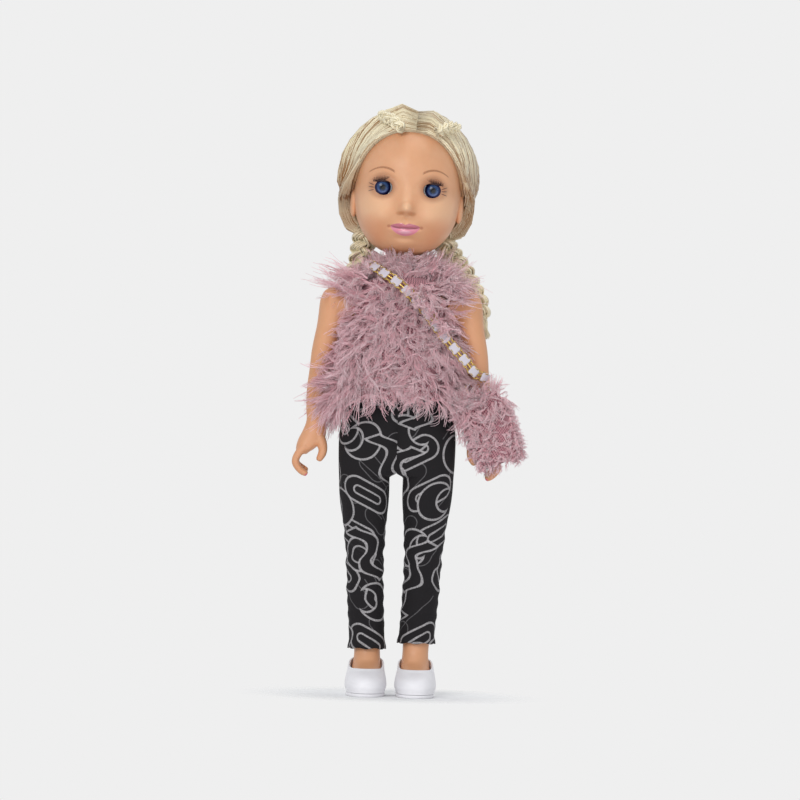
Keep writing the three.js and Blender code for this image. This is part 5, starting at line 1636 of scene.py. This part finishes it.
class DOLL_OT_limbs(bpy.types.Operator):
    """Vinyl arms with hands, legs with feet, and the plugs that they turn on"""

    bl_idname = "doll.limbs"
    bl_label = "Arms and legs"

    def execute(self, context):
        for name, side in SIDES.items():
            self.arm(name, side)
            self.leg(name, side)
        plastic = vinyl_finish("inner_plastic", linear("D8D4CE"), 0.5)
        torso = vinyl_finish("torso_vinyl", colours().skin, 0.45)
        for node in frame["nodes"]:
            if "plug" in node or "eye_cup" in node:
                refinish(node, plastic)
            if node in ("torso_front", "torso_back"):
                refinish(node, torso)
        return {"FINISHED"}

    # The middle of each finger from the palm to its tip, across and up.
    FINGER = [(71, 191), (76, 186), (78.6, 179), (74.5, 172.5), (69, 169.5)]
    FINGER_RADII = [(0, 3.25), (0.5, 2.85), (0.85, 2.6), (0.95, 2.25), (1, 1.25)]
    THUMB = [(62, -3, 202), (58.5, -5.5, 194), (57.6, -6.5, 187), (61, -6.5, 180)]
    THUMB_RADII = [(0, 4.6), (0.35, 4), (0.7, 3.3), (0.92, 2.6), (1, 1.2)]
    HIP_DRUM = 19.3  # radius of the leg's round top

    def arm(self, name, side):
        parts = [lofted(ARM_ROWS, 56, 110)]
        axis = Vector((math.cos(SHOULDER_TILT), 0, -math.sin(SHOULDER_TILT)))
        centre = Vector((35.5, 0, SHOULDER_Z - 2.48))
        hub = [centre + axis * reach for reach in (0.4, 6, 12, 16.5)]
        parts.append(tube(hub, [11.3, 11.5, 11.5, 10.5], 48))
        for i in range(4):
            y = (i - 1.5) * 4.4
            short = 2.5 if i == 3 else 0
            path = [Vector((x, y, z + (short if z < 179 else 0))) for x, z in self.FINGER]
            parts.append(self.digit(path, self.FINGER_RADII))
        parts.append(self.digit([Vector(p) for p in self.THUMB], self.THUMB_RADII))
        arm = object_of(name + "_arm_vinyl", on_side(side, joined(*parts)))
        modified(arm, "REMESH", mode="VOXEL", voxel_size=0.0007)
        modified(arm, "SMOOTH", factor=0.5, iterations=4)
        flat = bmesh.new()
        place = Matrix.Translation((side * (centre.x - 20 + 0.45), 0, centre.z))
        place = place @ Matrix.Rotation(side * SHOULDER_TILT, 4, "Y") @ Matrix.Diagonal((40, 60, 60, 1))
        bmesh.ops.create_cube(flat, size=1, matrix=place)
        cut_by(arm, flat)
        bore = [centre + axis * reach for reach in (-2, 11.5)]
        cut_by(arm, tube([Vector((p.x * side, 0, p.z)) for p in bore], [HUB_BORE] * 2, 32))
        arm.data.shade_smooth()
        finished(arm, name + "_arm", limb_finish(name + "_arm_skin", side), [name + "_arm"])

    def digit(self, path, radii):
        line = smooth_line(path, 22)
        return tube(line, [curve_value(radii, k / 21) for k in range(22)], 20)

    def leg(self, name, side):
        leg = object_of(name + "_leg_vinyl", on_side(side, lofted(LEG_ROWS, 64, 84)))
        cut_by(leg, on_side(side, lofted(FOOT_ROWS, 64, 24)), operation="UNION")
        column = [level(165, 24.9, 0, 18, 19.3, 2.7), level(192, 24.9, 0, 18, 19.3, 2.7)]
        column.append(level(212, 22.9, 0, 14, 19.3, 2.7))
        top = object_of("top_of_leg", on_side(side, lofted(column, 64, 20)))
        cut_by(top, drum(6.5 * side, 44 * side, self.HIP_DRUM, HIP_Z), operation="INTERSECT")
        bm = bmesh.new()
        bm.from_mesh(top.data)
        bpy.data.objects.remove(top)
        cut_by(leg, bm, Matrix.Identity(4), "UNION")
        flat = bmesh.new()
        place = Matrix.Translation((side * -23.45, 0, HIP_Z)) @ Matrix.Diagonal((60, 120, 80, 1))
        bmesh.ops.create_cube(flat, size=1, matrix=place)
        cut_by(leg, flat)
        cut_by(leg, drum(0, 17.7 * side, HUB_BORE, HIP_Z, 32))
        leg.data.shade_smooth()
        finish = vinyl_finish(name + "_leg_skin", colours().skin, 0.45)
        finished(leg, name + "_leg", finish, [name + "_leg"])


def limb_finish(name, side):
    """Skin vinyl with a pink nail on the thumb and first finger."""
    tint = colours()
    material, start = finish_of(name)
    place = place_of(start)
    x, y, z = place.parts()
    fine = noise_of(start, place, 3.0, 2.0)
    broad = noise_of(start, place, 0.07, 2.0)
    across = (x * side - 69.4) / 1.7
    up = (z - 168.6) / 1.5
    nail = ((across * across + up * up).step(1.3, 0.8)) * y.step(-3, -5)
    skin = (broad.step(0.3, 0.75) * 0.3).blend(tint.skin, linear("D29468"))
    skin = (z.step(200, 176) * 0.3).blend(skin, linear("CE8E66"))
    shaded(
        start,
        base_color=(nail * 0.8).blend(skin, linear("D9687F")),
        roughness=0.45 - nail * 0.25 + (fine - 0.5) * 0.08,
        subsurface_weight=0.1,
        subsurface_radius=(1.0, 0.45, 0.25),
        subsurface_scale=0.004,
        normal=bump(start, fine, 0.04),
    )
    return material


# The shoes


SHOE_ROWS = [
    level(2.7, 19.2, -15.5, 14.6, 32.8, 2.4), level(8, 19.2, -15.5, 16.2, 34, 2.4),
    level(14, 19.2, -14.5, 15.6, 31.8, 2.2), level(19.4, 19.2, -8.5, 14.4, 25.6),
    level(30.5, 18.8, 2.4, 13, 16.2),
]  # fmt: skip


class DOLL_OT_shoes(bpy.types.Operator):
    """White vinyl shoes with thin soles"""

    bl_idname = "doll.shoes"
    bl_label = "Shoes"

    def execute(self, context):
        finish = vinyl_finish("white_vinyl", colours().shoes, 0.45)
        for name, side in SIDES.items():

            def shape(u, v):
                angle = u * TURN
                back = smoothstep(math.sin(angle), -0.75, 0.8)
                top = mix(21.2, 28.3, back)
                if v < 0.12:
                    point = ring_point(row_at(SHOE_ROWS, 2.7), angle)
                    centre = Vector((19.2, -15.5, 2.7))
                    return centre.lerp(point, v / 0.12)
                z = mix(2.7, top, (v - 0.12) / 0.88)
                return ring_point(row_at(SHOE_ROWS, z), angle)

            shoe = object_of(name + "_shoe_vinyl", on_side(side, bent_grid(shape, 96, 50)))
            modified(shoe, "SOLIDIFY", thickness=0.0013, offset=-1)
            sharp = math.radians(50)
            modified(shoe, "BEVEL", width=0.0003, segments=2, limit_method="ANGLE", angle_limit=sharp)
            finished(shoe, name + "_leg", finish, [name + "_shoe_upper"])
            rows = [level(0, 19.2, -15.5, 14.2, 32.4, 2.4), level(0.5, 19.2, -15.5, 14.9, 33.1, 2.4)]
            rows += [level(1.9, 19.2, -15.5, 15.2, 33.4, 2.4), level(2.4, 19.2, -15.5, 14.9, 33.1, 2.4)]
            sole = object_of(name + "_shoe_base", on_side(side, lofted(rows, 96, 12)))
            finished(sole, name + "_leg", finish, [name + "_shoe_sole"])
        return {"FINISHED"}


# The bag and its strap


BAG_HALF_HEIGHT = 28


def pouch_point(angle, t, grow=0.0):
    swell = math.sqrt(max(0, 1 - abs(t) ** 3.2)) * 0.9 + 0.1
    wide = 19 * (0.62 + 0.38 * swell) * (1 - 0.08 * t)
    return ring_point(level(t * BAG_HALF_HEIGHT, 0, 0, wide, 8.5 * swell * (1 - 0.12 * t), 2.4), angle, grow)


class DOLL_OT_bag(bpy.types.Operator):
    """The fluffy shoulder bag and its rings; its pouch stands for the flap as well."""

    bl_idname = "doll.bag"
    bl_label = "Bag"

    TUFTS, CORNER_WISPS = 560, 70
    RING_RADIUS, RING_WIRE = 3.4, 0.8

    def execute(self, context):
        form = bent_grid(lambda u, v: pouch_point(u * TURN, v * 2 - 1, -1.2), 72, 60)
        pouch = object_of("bag_ground", capped(form), BAG)
        ground = ground_finish()
        finished(pouch, "bag", ground, ["bag_pouch", "bag_flap"])
        rng = random.Random(8)
        strands = []
        for _ in range(self.TUFTS):
            angle, t = rng.uniform(0, TURN), rng.uniform(-0.97, 0.97)
            root = pouch_point(angle, t, -1.2)
            near = pouch_point(angle + 0.03, t, -1.2) - root
            higher = min(t + 0.02, 0.99)
            above = pouch_point(angle, higher, -1.2) - pouch_point(angle, higher - 0.02, -1.2)
            out = near.cross(above)
            out = out.normalized() if out.length > 1e-6 else Vector((0, 0, 1))
            down = -above.normalized()
            if t > 0.75:
                # The top edge stands up round the rings.
                down = (out * 0.5 + Vector((rng.uniform(-0.6, 0.6), 0, rng.uniform(0.2, 1.0)))).normalized()
            # The yarn is longer at the top, where it hides the end of the strap.
            high = smoothstep(t - 0.35 * root.x / 19, -0.1, 1.1)
            strands += tuft(rng, root, out, down, mix(7.5, 20, high), openness=mix(0.6, 1, high))
        for _ in range(self.CORNER_WISPS):
            # Long wisps at the corner by the strap's end.
            root = Vector((rng.uniform(-19, 6), rng.uniform(-7, -1), rng.uniform(17, 28)))
            heading = toward(rng, (-1, 0.4), (-0.9, -0.1), (0.3, 1.2))
            strands += tuft(rng, root, FORWARD, heading, 17, wild=0.8)
        fluff = fibres("bag_tufts", strands, BAG)
        finished(fluff, "bag", fluff_finish("bag_yarn"))
        gold = gold_finish("ring_gold")
        for name, x in (("front", 8.5), ("back", -8.5)):

            def ring(u, v, x=x):
                a, b = u * TURN, v * TURN
                radius = self.RING_RADIUS + self.RING_WIRE * math.cos(b)
                height = BAG_HALF_HEIGHT + 4.7 + radius * math.sin(a)
                return Vector((x + self.RING_WIRE * math.sin(b), radius * math.cos(a), height))

            made = object_of("bag_ring_" + name + "_wire", bent_grid(ring, 48, 20), BAG)
            finished(made, "bag", gold, ["bag_ring_" + name])
        return {"FINISHED"}


def gold_finish(name):
    material, start = finish_of(name)
    place = place_of(start)
    worn = noise_of(start, place, 0.8, 3.0)
    shaded(
        start,
        base_color=worn.step(0.35, 0.7).blend(colours().gold, linear("E2C06E")),
        metallic=1.0,
        roughness=0.22 + worn * 0.14,
        normal=bump(start, worn, 0.02),
    )
    return material


class DOLL_OT_strap(bpy.types.Operator):
    """The bag's strap: a white ribbon woven through a gold chain"""

    bl_idname = "doll.strap"
    bl_label = "Strap"

    PATH = [
        (67.8, -24, 247.9), (58.5, -30.5, 251.5), (49.7, -34.5, 261.5), (32.6, -35.5, 280), (17, -33, 300),
        (0, -28.5, 317), (-13, -24, 326), (-24, -12, 333), (-27, 3, 334), (-22, 20, 328), (-4, 30, 309),
        (22, 33.5, 285), (42, 24, 263), (50.8, 8, 248), (51.2, -6, 241), (51.9, -17, 240.6),
    ]  # fmt: skip
    CORD_RADIUS = 1.1
    PITCH = 11.6

    def execute(self, context):
        line = smooth_line([Vector(p) for p in self.PATH], 400)
        length = sum((b - a).length for a, b in zip(line, line[1:]))
        outward = [Vector((p.x * 0.4, p.y, (p.z - 290) * 0.35)).normalized() for p in line]
        white = ribbon_finish()
        gold = gold_finish("chain_gold")
        bm = tube(line, [self.CORD_RADIUS] * len(line), 12, Vector((0, -1, 0)))
        cord = object_of("strap_core", bm)
        finished(cord, "torso", gold, ["bag_strap"])
        folds, links = [], []
        travelled, due, count = 0.0, 2.0, 0
        for i in range(1, len(line) - 1):
            travelled += (line[i] - line[i - 1]).length
            if travelled < due:
                continue
            due += self.PITCH / 4
            along = (line[i + 1] - line[i - 1]).normalized()
            out = outward[i] - along * along.dot(outward[i])
            out.normalize()
            side = along.cross(out)
            place = Matrix((side, along, out)).transposed().to_4x4()
            place.translation = line[i]
            count += 1
            if count % 4 == 1:
                folds.append(self.fold(place))
            links += [self.link(place, sign, count % 2) for sign in (-1, 1)]
        ribbon = object_of("strap_folds", joined(*folds))
        finished(ribbon, "torso", white)
        chain = object_of("strap_links", joined(*links))
        finished(chain, "torso", gold)
        points = [DOLL @ p for p in line]
        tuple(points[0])  # fmt: skip
        return {"FINISHED"}

    def fold(self, place):
        """One flat square of the ribbon that shows between the links."""

        def shape(u, v):
            a = u * TURN
            c, s = math.cos(a), math.sin(a)
            t = v * 2 - 1
            x = math.copysign(abs(c) ** 0.5, c) * (3.5 - 0.5 * abs(t) ** 5)
            z = math.copysign(abs(s) ** 0.8, s) * (0.35 + 0.35 * (1 - t * t)) + 0.8
            return place @ Vector((x, t * 3.75, z + 0.16 * math.sin(x * 1.9 + t)))

        return capped(bent_grid(shape, 24, 8))

    def link(self, place, sign, stands):
        """One link of the chain at the ribbon's edge. Every other one stands on its side."""

        def shape(u, v):
            a, b = u * TURN, v * TURN
            wide = (0.95 + 0.4 * math.cos(b)) * math.cos(a)
            thick = 0.4 * math.sin(b)
            x, z = (thick, wide) if stands else (wide, thick)
            y = (1.75 + 0.4 * math.cos(b)) * math.sin(a)
            return place @ Vector((x + sign * 2.9, y, z + 0.5))

        return bent_grid(shape, 16, 6)


def ribbon_finish():
    """White satin ribbon with fine threads."""
    material, start = finish_of("satin_ribbon")
    place = place_of(start)
    x, _, z = place.parts()
    threads = (z * 9).maths("SINE", (z + x) * 9)
    fine = noise_of(start, place, 2.0, 2.0)
    shaded(
        start,
        base_color=(fine.step(0.3, 0.7) * 0.4).blend(colours().ribbon, linear("C9C6DA")),
        roughness=0.6,
        sheen_weight=0.2,
        normal=bump(start, threads + fine, 0.05),
    )
    return material


# The add-on


OPERATORS = (
    DOLL_OT_stage,
    DOLL_OT_strap,
    DOLL_OT_head,
    DOLL_OT_eyes,
    DOLL_OT_hair,
    DOLL_OT_limbs,
    DOLL_OT_leggings,
    DOLL_OT_top,
    DOLL_OT_shoes,
    DOLL_OT_bag,
)


class DOLL_PT_panel(bpy.types.Panel):
    """Lists the doll's pieces"""

    bl_idname = "DOLL_PT_panel"
    bl_label = "Play Doll"
    bl_space_type = "VIEW_3D"
    bl_region_type = "UI"
    bl_category = "Doll"

    def draw(self, context):
        for operator in OPERATORS:
            self.layout.operator(operator.bl_idname)
        for group in (context.scene.doll_colours, context.scene.doll_sizes):
            box = self.layout.box()
            for name in group.__annotations__:
                box.prop(group, name)


CLASSES = (DollColours, DollSizes, *OPERATORS, DOLL_PT_panel)


def register():
    for made in CLASSES:
        bpy.utils.register_class(made)
    bpy.types.Scene.doll_colours = PointerProperty(type=DollColours)
    bpy.types.Scene.doll_sizes = PointerProperty(type=DollSizes)


def unregister():
    del bpy.types.Scene.doll_sizes
    del bpy.types.Scene.doll_colours
    for made in reversed(CLASSES):
        bpy.utils.unregister_class(made)


def main():
    register()
    bpy.ops.doll.stage()
    bpy.ops.doll.strap()
    bpy.ops.doll.head()
    bpy.ops.doll.eyes()
    bpy.ops.doll.hair()
    bpy.ops.doll.limbs()
    bpy.ops.doll.leggings()
    bpy.ops.doll.top()
    bpy.ops.doll.shoes()
    bpy.ops.doll.bag()


if __name__ == "__main__":
    main()
